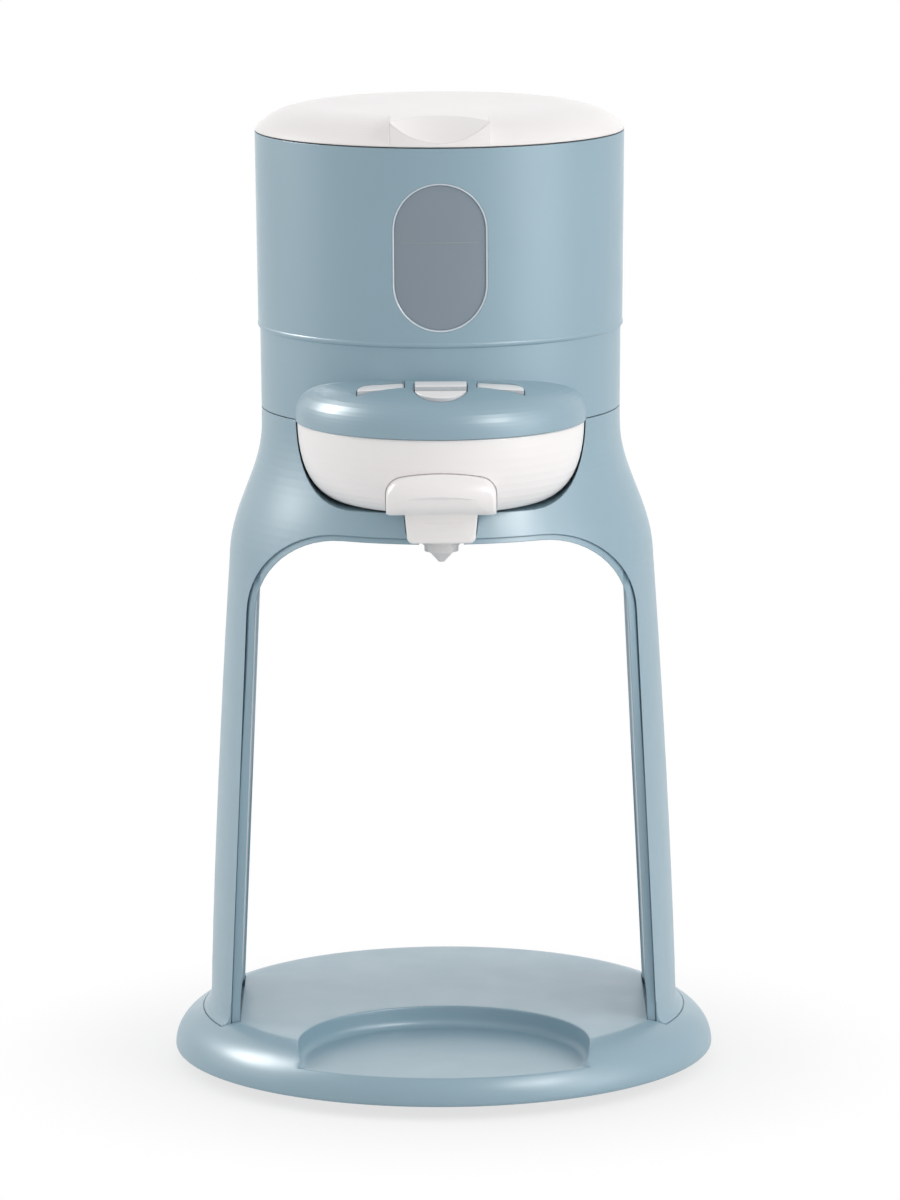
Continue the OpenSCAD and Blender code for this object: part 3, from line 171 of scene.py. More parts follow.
def moulded(name, colour, roughness, mottle=0.025, grain=0.06, edge=0.0):
    """A moulded material: its colour drifts a little, the tool's polish varies over the
    surface, and a fine grain breaks up the highlights. Edge softens sharp edges, in metres."""
    material = bpy.data.materials.new(name)
    material.use_nodes = True
    tree = material.node_tree
    links = tree.links
    shader = tree.nodes["Principled BSDF"]
    place = tree.nodes.new("ShaderNodeTexCoord")
    drift = tree.nodes.new("ShaderNodeTexNoise")
    drift.inputs["Scale"].default_value = 11
    drift.inputs["Detail"].default_value = 3
    links.new(place.outputs["Object"], drift.inputs["Vector"])
    tint = tree.nodes.new("ShaderNodeValToRGB")
    tint.color_ramp.elements[0].position = 0.3
    tint.color_ramp.elements[0].color = (*(c * (1 - mottle) for c in colour), 1)
    tint.color_ramp.elements[1].position = 0.7
    tint.color_ramp.elements[1].color = (*(min(1, c * (1 + mottle)) for c in colour), 1)
    links.new(drift.outputs["Fac"], tint.inputs["Fac"])
    links.new(tint.outputs["Color"], shader.inputs["Base Color"])
    polish = tree.nodes.new("ShaderNodeTexNoise")
    polish.inputs["Scale"].default_value = 70
    polish.inputs["Detail"].default_value = 4
    links.new(place.outputs["Object"], polish.inputs["Vector"])
    gloss = tree.nodes.new("ShaderNodeMapRange")
    gloss.inputs["From Min"].default_value = 0.3
    gloss.inputs["From Max"].default_value = 0.7
    gloss.inputs["To Min"].default_value = roughness * 0.92
    gloss.inputs["To Max"].default_value = min(1, roughness * 1.08)
    links.new(polish.outputs["Fac"], gloss.inputs["Value"])
    links.new(gloss.outputs["Result"], shader.inputs["Roughness"])
    pits = tree.nodes.new("ShaderNodeTexNoise")
    pits.inputs["Scale"].default_value = 2600
    pits.inputs["Detail"].default_value = 2
    links.new(place.outputs["Object"], pits.inputs["Vector"])
    bump = tree.nodes.new("ShaderNodeBump")
    bump.inputs["Strength"].default_value = grain
    bump.inputs["Distance"].default_value = 0.0001
    links.new(pits.outputs["Fac"], bump.inputs["Height"])
    if edge > 0:
        soft_edge = tree.nodes.new("ShaderNodeBevel")
        soft_edge.samples = 4
        soft_edge.inputs["Radius"].default_value = edge
        links.new(soft_edge.outputs["Normal"], bump.inputs["Normal"])
    links.new(bump.outputs["Normal"], shader.inputs["Normal"])
    return material


def finish_node(node, material):
    """Gives a CAD node its material."""
    for place in nodes[node].material_slots:
        place.material = material


def metal(name, colour, roughness):
    """A plated or drawn metal with its own mottling."""
    material = moulded(name, colour, roughness, mottle=0.06, grain=0.1)
    material.node_tree.nodes["Principled BSDF"].inputs["Metallic"].default_value = 1
    return material


black_plastic = moulded("black_plastic", srgb(40, 42, 44), 0.55, grain=0.2)
finish_node("base_plate", black_plastic)
finish_node("rubber_feet", moulded("rubber", srgb(52, 52, 54), 0.8, grain=0.3))
zinc = metal("zinc_plate", (0.66, 0.67, 0.69), 0.35)
finish_node("base_screws", zinc)

# Base cover: one satin blue-grey moulding with a flat top, a soft crease, a
# rolled rim and the bottle recess. Its skin is worked out over rays from the
# recess's axis, so that wall, fillets and rim run into each other.
cover_blue = srgb(144, 171, 184)
satin_blue = moulded("satin_blue", cover_blue, 0.36, edge=0.0005)
base_r, flat_r, base_top = 105, 88, 22.8
rim_z, rim_turn, rim_end, rim_steps = 6.4, 75, 2, 40
rim_w = (base_r - flat_r) / (1 - math.cos(math.radians(rim_turn)))
rim_h = (base_top - rim_z) / math.sin(math.radians(rim_turn))
cover_wall = 2.6
recess_y, recess_r, recess_floor, recess_fillet, fillet_steps = -70.2, 55.6, 14.7, 3, 12
lip_r, lip_z, lip_slant = 98.5, 15.7, 0.3
mouth_r, mouth_z, mouth_top = 99.8, 5.2, 8
rim_foot_r = base_r - 1.2
skin_points, inside_points, point_crowd = 110, 60, 6
skin_ease, skin_step, inside_ease, inside_step = 1.1, 0.12, 1.6, 0.2


def arc(mid_r, mid_z, half_w, half_h, start, end, steps):
    """Points of an elliptical arc in a section, in degrees from straight out."""
    turns = [math.radians(start + (end - start) * i / steps) for i in range(steps + 1)]
    return [(mid_r + half_w * math.cos(t), mid_z + half_h * math.sin(t)) for t in turns]


def eased(path, reach, step):
    """Rounds the corners of a path: even steps along it, then a running average."""
    lengths = [0.0]
    for a, b in zip(path, path[1:]):
        lengths.append(lengths[-1] + math.dist(a, b))
    count = max(8, round(lengths[-1] / step))
    even, k = [], 0
    for i in range(count + 1):
        s = lengths[-1] * i / count
        while k < len(path) - 2 and lengths[k + 1] < s:
            k += 1
        span = lengths[k + 1] - lengths[k]
        t = (s - lengths[k]) / span if span > 0 else 0
        even.append([a + (b - a) * t for a, b in zip(path[k], path[k + 1])])
    spread = max(1, round(reach / step))
    rounded = []
    for i in range(count + 1):
        w = min(spread, i, count - i)
        near = even[i - w : i + w + 1]
        weights = [1 + math.cos(math.pi * (j - w) / (w + 1)) for j in range(2 * w + 1)]
        total = sum(weights)
        rounded.append([sum(q * p[c] for q, p in zip(weights, near)) / total for c in (0, 1)])
    return rounded


def picked(path, count, crowd):
    """Count points of a dense path, closer together where it bends."""
    cost = [0.0]
    for i in range(1, len(path)):
        bend = 0.0
        if i < len(path) - 1:
            ax, az = path[i][0] - path[i - 1][0], path[i][1] - path[i - 1][1]
            bx, bz = path[i + 1][0] - path[i][0], path[i + 1][1] - path[i][1]
            bend = abs(math.atan2(ax * bz - az * bx, ax * bx + az * bz))
        cost.append(cost[-1] + math.dist(path[i - 1], path[i]) + crowd * bend)
    points, k = [], 0
    for i in range(count):
        s = cost[-1] * i / (count - 1)
        while k < len(path) - 2 and cost[k + 1] < s:
            k += 1
        span = cost[k + 1] - cost[k]
        t = (s - cost[k]) / span if span > 0 else 0
        points.append([a + (b - a) * t for a, b in zip(path[k], path[k + 1])])
    return points


def to_circle(turn, r):
    """Distance from the recess's axis to a circle round the base's axis, along a ray."""
    along = recess_y * math.sin(turn)
    return -along + math.sqrt(along**2 - recess_y**2 + r * r)


def cover_ray(turn, wall):
    """The cover's skin along one ray from the recess's axis, as distance and height:
    recess floor, wall or lip, flat top and rim, moved inwards by wall."""
    top = base_top - wall
    floor_z, round_r = recess_floor - wall, recess_r + wall
    rim = arc(base_r - rim_w, rim_z, rim_w - wall, rim_h - wall, rim_turn, rim_end, rim_steps)
    fillet = recess_fillet + wall * 0.3
    path = [(0, floor_z)]
    pocket = [(round_r - fillet, floor_z)]
    pocket += [
        (round_r - fillet + fillet * math.sin(t), floor_z + fillet - fillet * math.cos(t))
        for t in (math.pi / 2 * i / fillet_steps for i in range(1, fillet_steps + 1))
    ]
    rim = [(to_circle(turn, r), z) for r, z in rim]
    if rim[0][0] > round_r:
        path += pocket + [(round_r, top)]
        return path + [(to_circle(turn, flat_r) - wall * 0.2, top)] + rim
    outside = [p for p in rim if p[0] > round_r]
    crossing = None
    for a, b in zip(rim, rim[1:]):
        if a[0] <= round_r < b[0]:
            crossing = a[1] + (b[1] - a[1]) * (round_r - a[0]) / (b[0] - a[0])
    lip_height = lip_z - wall
    if crossing is not None and crossing > floor_z + fillet:
        return path + pocket + [(round_r, crossing)] + outside
    lip_reach = to_circle(turn, lip_r)
    lip = [(lip_reach, floor_z), (lip_reach + lip_slant, lip_height)]
    low_rim = [p for p in rim if p[1] < lip_height]
    return path + lip + low_rim


def cover_section(turn):
    """One closed section of the cover: its skin, its mouth below, and its inside."""
    outer = eased(cover_ray(turn, 0), skin_ease, skin_step)
    outer = picked(outer, skin_points, point_crowd)
    inner = eased(cover_ray(turn, cover_wall), inside_ease, inside_step)
    inner = picked(inner, inside_points, point_crowd)
    edge = arc(rim_foot_r, rim_z, base_r - rim_foot_r, rim_z - mouth_z, 0, -90, 5)
    edge += [(mouth_r, mouth_z), (mouth_r, mouth_top)]
    mouth = [(to_circle(turn, r), z) for r, z in edge]
    return outer + mouth + inner[::-1]


def skinned(name, rings, closed=True):
    """Joins rows of points, given in metres, into one skin of quads, and merges doubles."""
    mesh = bpy.data.meshes.new(name)
    width = len(rings[0])
    vertices = [p for ring in rings for p in ring]
    faces = []
    rows = len(rings)
    for i in range(rows if closed else rows - 1):
        here, there = i * width, (i + 1) % rows * width
        faces += [(here + j, here + j + 1, there + j + 1, there + j) for j in range(width - 1)]
    mesh.from_pydata(vertices, [], faces)
    piece = bpy.data.objects.new(name, mesh)
    bpy.context.scene.collection.objects.link(piece)
    bpy.ops.object.select_all(action="DESELECT")
    piece.select_set(True)
    bpy.context.view_layer.objects.active = piece
    bpy.ops.object.mode_set(mode="EDIT")
    bpy.ops.mesh.select_all(action="SELECT")
    bpy.ops.mesh.remove_doubles(threshold=MM / 500)
    bpy.ops.mesh.dissolve_degenerate(threshold=MM / 1000)
    bpy.ops.mesh.select_all(action="SELECT")
    bpy.ops.mesh.normals_make_consistent(inside=False)
    bpy.ops.object.mode_set(mode="OBJECT")
    return piece


smooth_angle = 32


def on_body(piece, material, body, slot, *replaced):
    """Gives a piece its material, its smooth shading and its body, and hides the nodes it
    replaces; its slot is not used.
    """
    piece.data.materials.clear()
    piece.data.materials.append(material)
    bpy.ops.object.select_all(action="DESELECT")
    piece.select_set(True)
    bpy.context.view_layer.objects.active = piece
    bpy.ops.object.shade_smooth_by_angle(angle=math.radians(smooth_angle))
    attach(piece, body)
    if replaced:
        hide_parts(*replaced)
    return piece


cover_turns = 288
cover_rings = []
for i in range(cover_turns):
    turn = 2 * math.pi * (i + 0.5) / cover_turns
    cover_rings.append(
        [
            (d * math.cos(turn) * MM, (recess_y + d * math.sin(turn)) * MM, z * MM)
            for d, z in cover_section(turn)
        ]
    )
base_cover = skinned("base_moulding", cover_rings)

# Leg pockets: shallow seats that the legs stand in, sunk into the cover on both
# sides. Each is a slice of a round seat, cut out of the moulding.
pocket_floor, pocket_r = 20.4, 94.25
pocket_inner_x, pocket_half_y = 78.7, 38.7
seat_top, slice_far_x, slice_low, slice_high = 40, 120, 10, 50


def boxed(name, low, high):
    """A box between two corners, in millimetres, used to cut or trim a piece."""
    low, high = Vector(low) * MM, Vector(high) * MM
    bpy.ops.object.select_all(action="DESELECT")
    bpy.ops.mesh.primitive_cube_add(size=1, location=(low + high) / 2, scale=high - low)
    bpy.ops.object.transform_apply(location=True, rotation=True, scale=True)
    bpy.context.object.name = name
    return bpy.context.object


def drawn(points):
    """Starts a mesh at the first point and draws the outline on from there, in metres."""
    bpy.ops.object.select_all(action="DESELECT")
    bpy.ops.mesh.primitive_plane_add(size=MM, location=points[0])
    bpy.ops.object.mode_set(mode="EDIT")
    bpy.ops.mesh.select_all(action="SELECT")
    bpy.ops.mesh.merge(type="CENTER")
    for here, there in zip(points, points[1:]):
        step = Vector(there) - Vector(here)
        bpy.ops.mesh.extrude_region_move(TRANSFORM_OT_translate={"value": step})


def closed_up(name):
    """Merges what was drawn into a closed piece with its faces outwards."""
    bpy.ops.mesh.select_all(action="SELECT")
    bpy.ops.mesh.remove_doubles(threshold=MM / 1000)
    bpy.ops.mesh.normals_make_consistent(inside=False)
    bpy.ops.object.mode_set(mode="OBJECT")
    bpy.ops.object.transform_apply(location=True, rotation=True, scale=True)
    piece = bpy.context.object
    piece.name = name
    return piece


def turned(name, section, axis_y=0, steps=192):
    """Turns a half section, as radius and height in millimetres, round an upright axis."""
    drawn([(r * MM, axis_y * MM, z * MM) for r, z in section])
    bpy.ops.mesh.select_all(action="SELECT")
    bpy.ops.mesh.spin(
        steps=steps, angle=2 * math.pi, center=(0, axis_y * MM, 0), axis=(0, 0, 1)
    )
    return closed_up(name)


def extruded(name, outline, start, step):
    """Fills an outline drawn at start and pulls it out by step, all in millimetres."""
    drawn([Vector(p) * MM + Vector(start) * MM for p in outline])
    bpy.ops.mesh.select_all(action="SELECT")
    bpy.ops.mesh.edge_face_add()
    bpy.ops.mesh.extrude_region_move(TRANSFORM_OT_translate={"value": Vector(step) * MM})
    return closed_up(name)


def cut(piece, tool, operation="DIFFERENCE"):
    """Cuts, joins or trims a piece with a tool, which is then thrown away."""
    change = piece.modifiers.new("cut", "BOOLEAN")
    change.operation = operation
    change.object = tool
    change.solver = "EXACT"
    bpy.context.view_layer.objects.active = piece
    bpy.ops.object.modifier_apply(modifier="cut")
    bpy.data.objects.remove(tool)
    return piece


for side in (-1, 1):
    seat = [(0, pocket_floor), (pocket_r, pocket_floor), (pocket_r, seat_top), (0, seat_top)]
    pocket = turned("pocket", seat)
    near, far = sorted((side * pocket_inner_x, side * slice_far_x))
    slice_box = boxed(
        "slice", (near, -pocket_half_y, slice_low), (far, pocket_half_y, slice_high)
    )
    cut(pocket, slice_box, "INTERSECT")
    cut(base_cover, pocket)
on_body(base_cover, satin_blue, "stand", "stand", "base_cover")

# Legs' fixing: a steel block inside the foot of each leg, held by screws that come
# up through the base cover.
finish_node("leg_anchors", metal("anchor_steel", (0.6, 0.61, 0.63), 0.45))
finish_node("leg_screws", zinc)

# Stand shell and arch liner: the outer skin of the arch with its two legs, and the
# inner panel that closes it. Both are moulded in the colour of the base.
finish_node("stand_shell", satin_blue)
finish_node("arch_liner", satin_blue)

# Inside the neck: the drawer bay, moulded in the stand's colour because it shows
# round the bowl, with two slippery runners. Behind it a chassis plate holds pump,
# boiler and power board, joined by silicone hoses.
finish_node("drawer_bay", satin_blue)
finish_node("drawer_runners", moulded("runner_white", srgb(238, 238, 236), 0.3))
finish_node("chassis", black_plastic)
finish_node("chassis_screws", zinc)
finish_node("boiler", metal("cast_aluminium", (0.75, 0.76, 0.77), 0.5))
finish_node("heating_element", metal("heater_steel", (0.55, 0.5, 0.45), 0.4))
finish_node("pump", moulded("pump_plastic", srgb(52, 54, 58), 0.5))
board_green = moulded("board_green", srgb(26, 92, 54), 0.35)
finish_node("power_board", board_green)
finish_node("cord_grommet", moulded("grommet_rubber", srgb(52, 52, 54), 0.75, grain=0.3))
hose_silicone = moulded("hose_silicone", srgb(226, 226, 222), 0.45)
hose_silicone.node_tree.nodes["Principled BSDF"].inputs["Transmission Weight"].default_value = 0.3
for hose in ("inlet_hose", "transfer_hose", "outlet_hose"):
    finish_node(hose, hose_silicone)

# Head deck: a black plate on the stand's upper flange, with four screws up into the
# head. It carries the key board with its switches and the white outlet that drops
# the water into the drawer.
finish_node("head_deck", black_plastic)
finish_node("deck_screws", zinc)
finish_node("water_outlet", moulded("outlet_white", srgb(225, 225, 220), 0.45))
finish_node("key_board", board_green)
finish_node("key_switches", black_plastic)

# Control housing: the lower ring of the head with the bulged hood on its front,
# moulded in one. Its upper edge is set back a little from the tank housing, whose
# spigot sits inside it.
finish_node("control_housing", satin_blue)

# Ridge: the rolled edge at the foot of the tank housing, moulded in the colour of
# the head. It covers the joint and shows as a fine bright line all round.
ridge_z, ridge_root_r = 290.4, 69
ridge_w, ridge_half_h = 1.35, 1.3
ridge_section = arc(ridge_root_r, ridge_z, ridge_w, ridge_half_h, 90, -90, 20)
ridge_bead = turned("ridge_bead", ridge_section + ridge_section[:1])
on_body(ridge_bead, satin_blue, "stand", "stand")

# Keys: four white caps that stand up to about half a millimetre out of the hood. Their
# sides are greyer, which is painted shade. Their upper edges are eased, and lugs under
# the hood hold them in.
seam_z = 258.5
drawer_y = -41.4
hood_r, hood_rise, hood_power = 55.2, 19.5, 3
key_bottom = seam_z + 9.6
key_depth, middle_half = 8.3, 9.7
rear_key_y = drawer_y - 31.5
key_gap = 0.6
front_key_y = rear_key_y - key_depth - key_gap
side_key_y = drawer_y - 27
side_key_x, side_key_w, side_corner = 13.7, 17.5, 6
key_pull, key_edge_r, key_edge_steps = 30, 0.45, 4
lug_half_x, lug_half_y, lug_t = 1.5, 1, 1.2
lug_back, front_lug_back, front_lug_in = 4, 2, 0.2
front_steps, corner_steps = 40, 16


def hood_z(x, y):
    """Height of the hood's skin over a place."""
    share = math.hypot(x, y - drawer_y) / hood_r
    return seam_z + hood_rise * (1 - share**hood_power) ** (1 / hood_power)


def key(name, plan, rear_x, rear_y, stands_out, tilt, lean, lugs):
    """One key: its plan pulled up, cut by a top that stands out of the hood at the rear and
    slopes forwards by tilt and outwards by lean, its upper edges eased, its lugs."""
    cap = extruded(name, [(x, y, 0) for x, y in plan], (0, 0, key_bottom), (0, 0, key_pull))
    slope, fall = math.radians(tilt), math.radians(lean)
    bpy.ops.object.mode_set(mode="EDIT")
    bpy.ops.mesh.select_all(action="SELECT")
    bpy.ops.mesh.bisect(
        plane_co=Vector((0, rear_y, hood_z(rear_x, rear_y) + stands_out)) * MM,
        plane_no=(math.sin(fall), -math.sin(slope), math.cos(slope) * math.cos(fall)),
        use_fill=True,
        clear_outer=True,
    )
    bpy.ops.mesh.bevel(offset=key_edge_r * MM, segments=key_edge_steps, affect="EDGES")
    bpy.ops.object.mode_set(mode="OBJECT")
    for x, y in lugs:
        low = (x - lug_half_x, y - lug_half_y, key_bottom)
        high = (x + lug_half_x, y + lug_half_y, key_bottom + lug_t)
        cut(cap, boxed("lug", low, high), "UNION")
    on_body(cap, warm_white, name, "white", name)
    # Faces that turn away from straight up get the grey material: painted shade on the keys'
    # sides.
    cap.data.materials.append(key_side_painted_shade)
    for face in cap.data.polygons:
        if face.normal.z < painted_shade_limit:
            face.material_index = 1


def arced(mid_x, mid_y, radius, start, end, steps):
    """Points of a round corner in a plan."""
    turns = [math.radians(start + (end - start) * i / steps) for i in range(steps + 1)]
    return [(mid_x + radius * math.cos(t), mid_y + radius * math.sin(t)) for t in turns]


white_colour = srgb(246, 243, 242)
warm_white = moulded("warm_white", white_colour, 0.34, mottle=0.012, grain=0.03, edge=0.0005)
# Grey for the keys' sides and fronts: painted shade, darker than their lit tops.
key_side_painted_shade = moulded("key_side_painted_shade", srgb(186, 192, 196), 0.4, mottle=0.012, grain=0.03)
painted_shade_limit = 0.55
rear_plan = [
    (-middle_half, rear_key_y),
    (middle_half, rear_key_y),
    (middle_half, rear_key_y - key_depth),
    (-middle_half, rear_key_y - key_depth),
]
rear_lugs = [(side * middle_half, rear_key_y - lug_back) for side in (-1, 1)]
rear_stands_out, rear_tilt = 0.55, 3.8
key("key_rear", rear_plan, 0, rear_key_y, rear_stands_out, rear_tilt, 0, rear_lugs)
front_depth = key_depth - key_gap
front_r = (middle_half**2 + front_depth**2) / (2 * front_depth)
front_mid = front_key_y - front_depth + front_r
front_start = math.degrees(math.atan2(front_key_y - front_mid, middle_half))
front_plan = arced(0, front_mid, front_r, front_start, -180 - front_start, front_steps)
front_lug_x, front_lug_y = middle_half - front_lug_in, front_key_y - front_lug_back
front_lugs = [(side * front_lug_x, front_lug_y) for side in (-1, 1)]
front_stands_out, front_tilt = 0, 12.5
key("key_front", front_plan, 0, front_key_y, front_stands_out, front_tilt, 0, front_lugs)
side_far_x, side_front_y = side_key_x + side_key_w, side_key_y - key_depth
side_mid = side_key_x + side_key_w / 2
side_stands_out, side_tilt, side_lean = 0.5, 4.7, 3
for side, name in ((-1, "key_left"), (1, "key_right")):
    plan = [(side_key_x, side_front_y), (side_far_x, side_front_y)]
    corner_x, corner_y = side_far_x - side_corner, side_key_y - side_corner
    plan += arced(corner_x, corner_y, side_corner, 0, 90, corner_steps)
    plan += [(side_key_x, side_key_y)]
    lugs = [
        (side * side_key_x, side_key_y - lug_back),
        (side * side_mid, side_front_y + key_gap),
    ]
    plan = [(side * x, y) for x, y in plan]
    key(
        name,
        plan,
        side * side_mid,
        side_key_y,
        side_stands_out,
        side_tilt,
        side * side_lean,
        lugs,
    )

# Tank housing: the upper ring of the head with its round-ended window, and the
# ears that hold the lid's hinge pin at the rear.
finish_node("tank_housing", satin_blue)
finish_node("hinge_pin", zinc)

# Window: a smoked lens set into the opening from inside, with one level mark on it,
# and a bead round its edge that sits in the step of the housing. The bead's shape
# catches real highlights, and its pale colour adds a painted highlight.
smoke = moulded("smoked_window", srgb(131, 144, 155), 0.2, mottle=0.01, grain=0.01)
finish_node("window_lens", smoke)
ridge_r, head_top_z, head_top_r = 70.1, 364.4, 70.85
window_half, window_tall, window_mid = 17.1, 27.3, 323.3


def housing_r(z):
    """Radius of the tank housing at a height."""
    return ridge_r + (head_top_r - ridge_r) * (z - ridge_z) / (head_top_z - ridge_z)


bead_section = [(0.05, 1.4), (0.05, 0.5), (0.12, 0.22), (0.3, 0.02), (0.5, -0.06), (0.68, 0.02)]
bead_section += [(0.78, 0.16), (0.8, 0.48), (0.3, 0.52), (0.3, 1.4), (0.05, 1.4)]
bead_steps = 48
bead_rings = []
for end, start in ((1, 0), (-1, 180)):
    for i in range(bead_steps + 1):
        turn = math.radians(start + 180 * i / bead_steps)
        ring = []
        for out, depth in bead_section:
            x = (window_half + out) * math.cos(turn)
            rise = (window_half + out) * math.sin(turn)
            z = window_mid + rise + end * (window_tall - window_half)
            y = -math.sqrt((housing_r(z) - depth) ** 2 - x * x)
            ring.append((x * MM, y * MM, z * MM))
        bead_rings.append(ring)
bead = skinned("window_bead", bead_rings)
# Pale colour of the bead: a painted highlight round the window's edge.
bead_highlight_material = moulded("bead_painted_highlight", srgb(206, 216, 224), 0.3, mottle=0.01, grain=0.02)
on_body(bead, bead_highlight_material, "stand", "stand")
mark_z, mark_half, mark_tall = 328.8, 14.6, 0.4
lens_depth, mark_sunk, mark_proud, mark_steps = 0.7, -0.1, 0.04, 40
mark_section = [(0, mark_sunk), (0, mark_proud), (mark_tall, mark_proud), (mark_tall, mark_sunk)]
mark_rings = []
for i in range(mark_steps + 1):
    x = -mark_half + 2 * mark_half * i / mark_steps
    ring = []
    for z, lift in mark_section + mark_section[:1]:
        radius = housing_r(mark_z) - lens_depth + lift
        ring.append((x * MM, -math.sqrt(radius**2 - x * x) * MM, (mark_z + z) * MM))
    mark_rings.append(ring)
level_mark = skinned("level_mark", mark_rings, closed=False)
mark_ink = moulded("mark_ink", srgb(140, 150, 154), 0.4, mottle=0.01, grain=0.02)
on_body(level_mark, mark_ink, "stand", "window")

# Water tank: a clear cup that hangs by its flange inside the tank housing, with
# an outlet valve in its floor.
clear = moulded("clear_tank", (0.9, 0.93, 0.94), 0.12, mottle=0.01, grain=0.01)
clear_shader = clear.node_tree.nodes["Principled BSDF"]
clear_shader.inputs["Transmission Weight"].default_value = 0.9
clear_shader.inputs["IOR"].default_value = 1.49
finish_node("water_tank", clear)
finish_node("outlet_valve", black_plastic)

# Lid: a white hollow cap with a flat top, rounded shoulders and a scooped finger tab
# at the front, hinged at the rear.
lid_white = moulded("lid_white", white_colour, 0.4, mottle=0.012, grain=0.03, edge=0.0008)
lid_shader = lid_white.node_tree.nodes["Principled BSDF"]
lid_shader.inputs["Specular IOR Level"].default_value = 0.15
finish_node("lid", lid_white)

# Drawer: a white bowl that slides on the runners. A lip turned on its rim narrows
# the gap to the hood, and a clear funnel inside holds the powder.
finish_node("drawer_shell", warm_white)
bowl_r, bowl_top, bowl_wall = 54.5, 257.6, 2.4
lip_inner_r = bowl_r - bowl_wall + 1
lip_section = [
    (lip_inner_r, bowl_top + 0.1),
    (bowl_r - 0.1, bowl_top - 0.2),
    (bowl_r, bowl_top - 0.1),
    (bowl_r - 0.02, bowl_top + 0.35),
    (bowl_r - 0.2, bowl_top + 0.62),
    (bowl_r - 0.5, bowl_top + 0.7),
    (lip_inner_r, bowl_top + 0.7),
    (lip_inner_r, bowl_top + 0.1),
]
bowl_lip = turned("bowl_lip", lip_section, drawer_y)
on_body(bowl_lip, warm_white, "drawer", "white")
finish_node("powder_funnel", clear)

# Handle: a crowned grip on the bowl's front that runs down into the cover of the
# spout, moulded apart and set into the bowl's wall, so a fine seam surrounds it.
# Grip and neck are rings that follow their outline inwards, so every edge is soft.
bowl_floor = 227.8


def bezier(a, b, c, d, steps):
    """Points of a cubic curve."""
    points = []
    for i in range(steps + 1):
        t = i / steps
        u = 1 - t
        weights = (u**3, 3 * u * u * t, 3 * u * t * t, t**3)
        points.append([sum(w * q[k] for w, q in zip(weights, (a, b, c, d))) for k in (0, 1)])
    return points


def reach_at(profile, z):
    """Reach of a profile that falls from point to point, at a height."""
    for a, b in zip(profile, profile[1:]):
        if a[1] >= z >= b[1]:
            return a[0] + (b[0] - a[0]) * (a[1] - z) / max(a[1] - b[1], 1e-9)
    return profile[0][0] if z > profile[0][1] else profile[-1][0]


grip_front = bezier((52.5, 246.8), (60, 244.4), (63.2, 236.5), (57.6, 231.2), 32)
grip_front += bezier((57.6, 231.2), (55.4, 229.1), (50.5, 229.6), (46.9, 227.6), 20)[1:]
neck_front = [(46.5, 232), (45.7, 223.8), (44.5, 217.4)]
handle_back = bezier((54.5, 257.6), (54.2, 242.7), (50, 228.6), (35, bowl_floor), 40)
neck_back, floor_round, back_sunk = 37, 0.4, 0.5
round_steps, face_steps, face_crowd = 8, 8, 1.2


def rounded_outline(half_top, half_low, top, low, crown_r, top_corner, low_corner, inset):
    """A front view with a crowned top and four round corners, drawn in by inset."""
    top_r, low_r = max(top_corner - inset, 0.2), max(low_corner - inset, 0.2)
    crown = crown_r - inset
    right, low_right = half_top - inset, half_low - inset
    crown_z = top - crown_r
    corner_x = right - top_r
    corner_z = crown_z + math.sqrt((crown - top_r) ** 2 - corner_x**2)
    start = math.degrees(math.atan2(corner_z - crown_z, corner_x))
    low_z = low + inset + low_r
    points = arced(low_right - low_r, low_z, low_r, -90, 0, 8)
    points += [
        (low_right + (right - low_right) * k / 12, low_z + (corner_z - low_z) * k / 12)
        for k in range(1, 12)
    ]
    points += arced(corner_x, corner_z, top_r, 0, start, 12)
    points += arced(0, crown_z, crown, start, 90, 16)[1:]
    return points + [(-x, z) for x, z in points[-2::-1]]


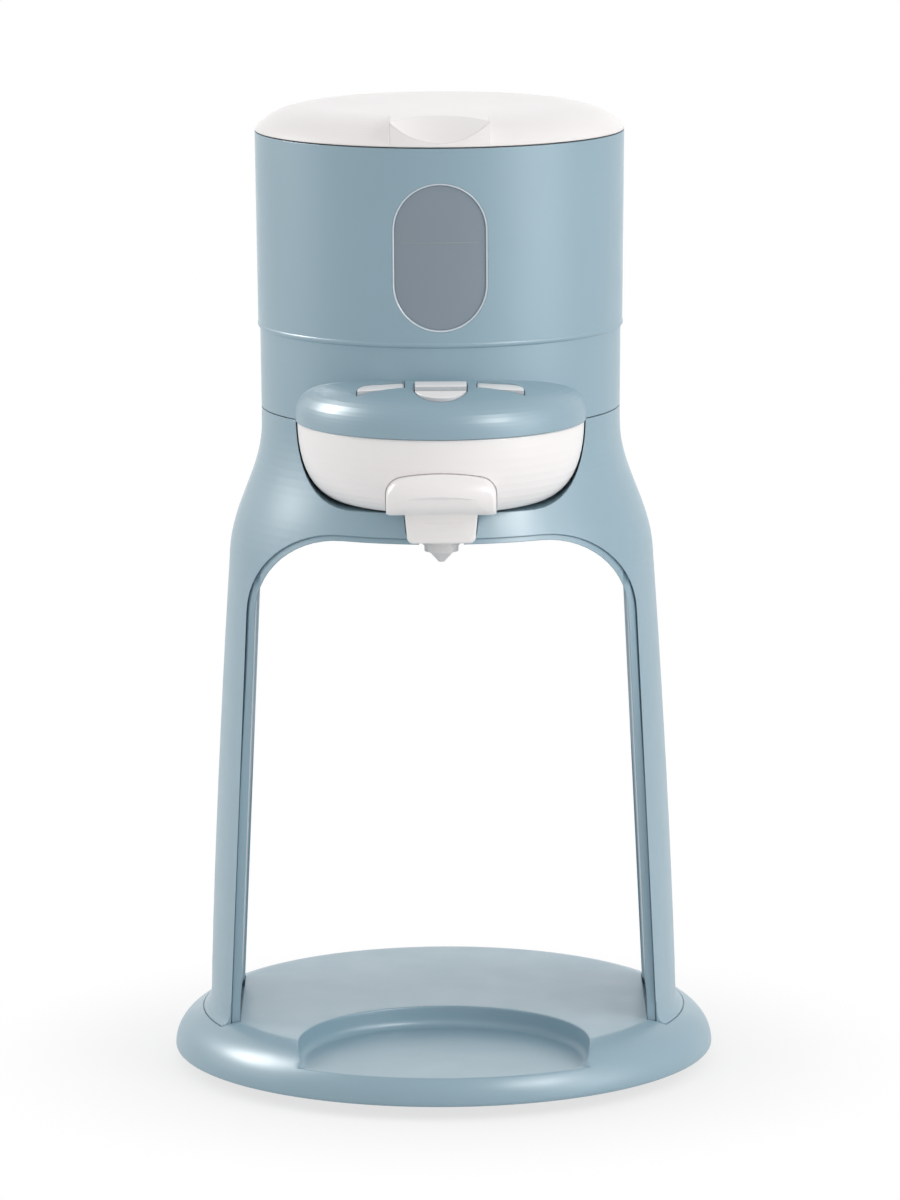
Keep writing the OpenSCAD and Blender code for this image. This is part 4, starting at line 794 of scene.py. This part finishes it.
def pillow(name, outline, profile, soft, depth):
    """A moulding with its front on a profile, its edges rounded by soft and its
    back sunk a little into the bowl, made of rings from the back's edge to the front's middle."""
    turns = [math.pi / 2 * k / round_steps for k in range(round_steps + 1)]
    insets = [(0, 1.0), (0, 0.35)]
    insets += [(soft * (1 - math.cos(t)), 1 - math.sin(t)) for t in turns]
    shares = [(k / face_steps) ** face_crowd for k in range(1, face_steps + 1)]
    insets += [(soft + (depth - soft) * share, 0) for share in shares]
    rings = []
    for n, (inset, share) in enumerate(insets):
        ring = []
        for x, z in outline(inset):
            front = reach_at(profile, z)
            back = neck_back
            if z > bowl_floor + floor_round:
                back = min(reach_at(handle_back, z) - back_sunk, front - 1)
            reach = back if n == 0 else front - soft * share
            if n == 1:
                reach = max(back, front - soft)
            ring.append((x * MM, (drawer_y - math.sqrt(max(reach**2 - x * x, 1))) * MM, z * MM))
        ring.append(ring[0])
        rings.append(ring)
    rings = [[Vector(p) for p in ring] for ring in rings]
    for ring in (rings[0], rings[-1]):
        middle = sum(ring[:-1], Vector()) / (len(ring) - 1)
        closing = [[p.lerp(middle, t) for p in ring] for t in (0.5, 1)]
        rings = closing[::-1] + rings if ring is rings[0] else rings + closing
    return skinned(name, rings, closed=False)


def grip_outline(inset):
    """The grip's front view: straight sides under a crowned top with large corners."""
    sizes = (grip_half, grip_half, grip_top, grip_low, grip_crown)
    return rounded_outline(*sizes, grip_top_corner, grip_low_corner, inset)


def neck_outline(inset):
    """The neck's front view: a little narrower below, its top hidden behind the grip."""
    sizes = (neck_half, neck_low_half, neck_top, neck_low, neck_crown)
    return rounded_outline(*sizes, neck_top_corner, neck_low_corner, inset)


grip_half, grip_top, grip_low, grip_crown = 20.6, 245.4, 228.2, 70
neck_half, neck_low_half, neck_top, neck_low, neck_crown = 13.8, 12.9, 231, 217.4, 400
grip_top_corner, grip_low_corner = 7.4, 1.6
neck_top_corner, neck_low_corner = 1, 2.4
grip = pillow("handle_moulding", grip_outline, grip_front, soft=1.8, depth=7.5)
neck = pillow("handle_neck", neck_outline, neck_front, soft=0.9, depth=5.0)
bpy.ops.object.select_all(action="DESELECT")
neck.select_set(True)
grip.select_set(True)
bpy.context.view_layer.objects.active = grip
bpy.ops.object.join()
handle_white = moulded("handle_white", white_colour, 0.3, mottle=0.012, grain=0.03)
on_body(grip, handle_white, "drawer", "white", "drawer_handle")

# Nozzle: a stepped translucent cone with a pointed tip, moulded in one and pushed
# onto the funnel's spigot under the drawer.
frosted = moulded("frosted_plastic", srgb(236, 236, 236), 0.45, mottle=0.01)
frosted.node_tree.nodes["Principled BSDF"].inputs["Transmission Weight"].default_value = 0.2
finish_node("nozzle", frosted)
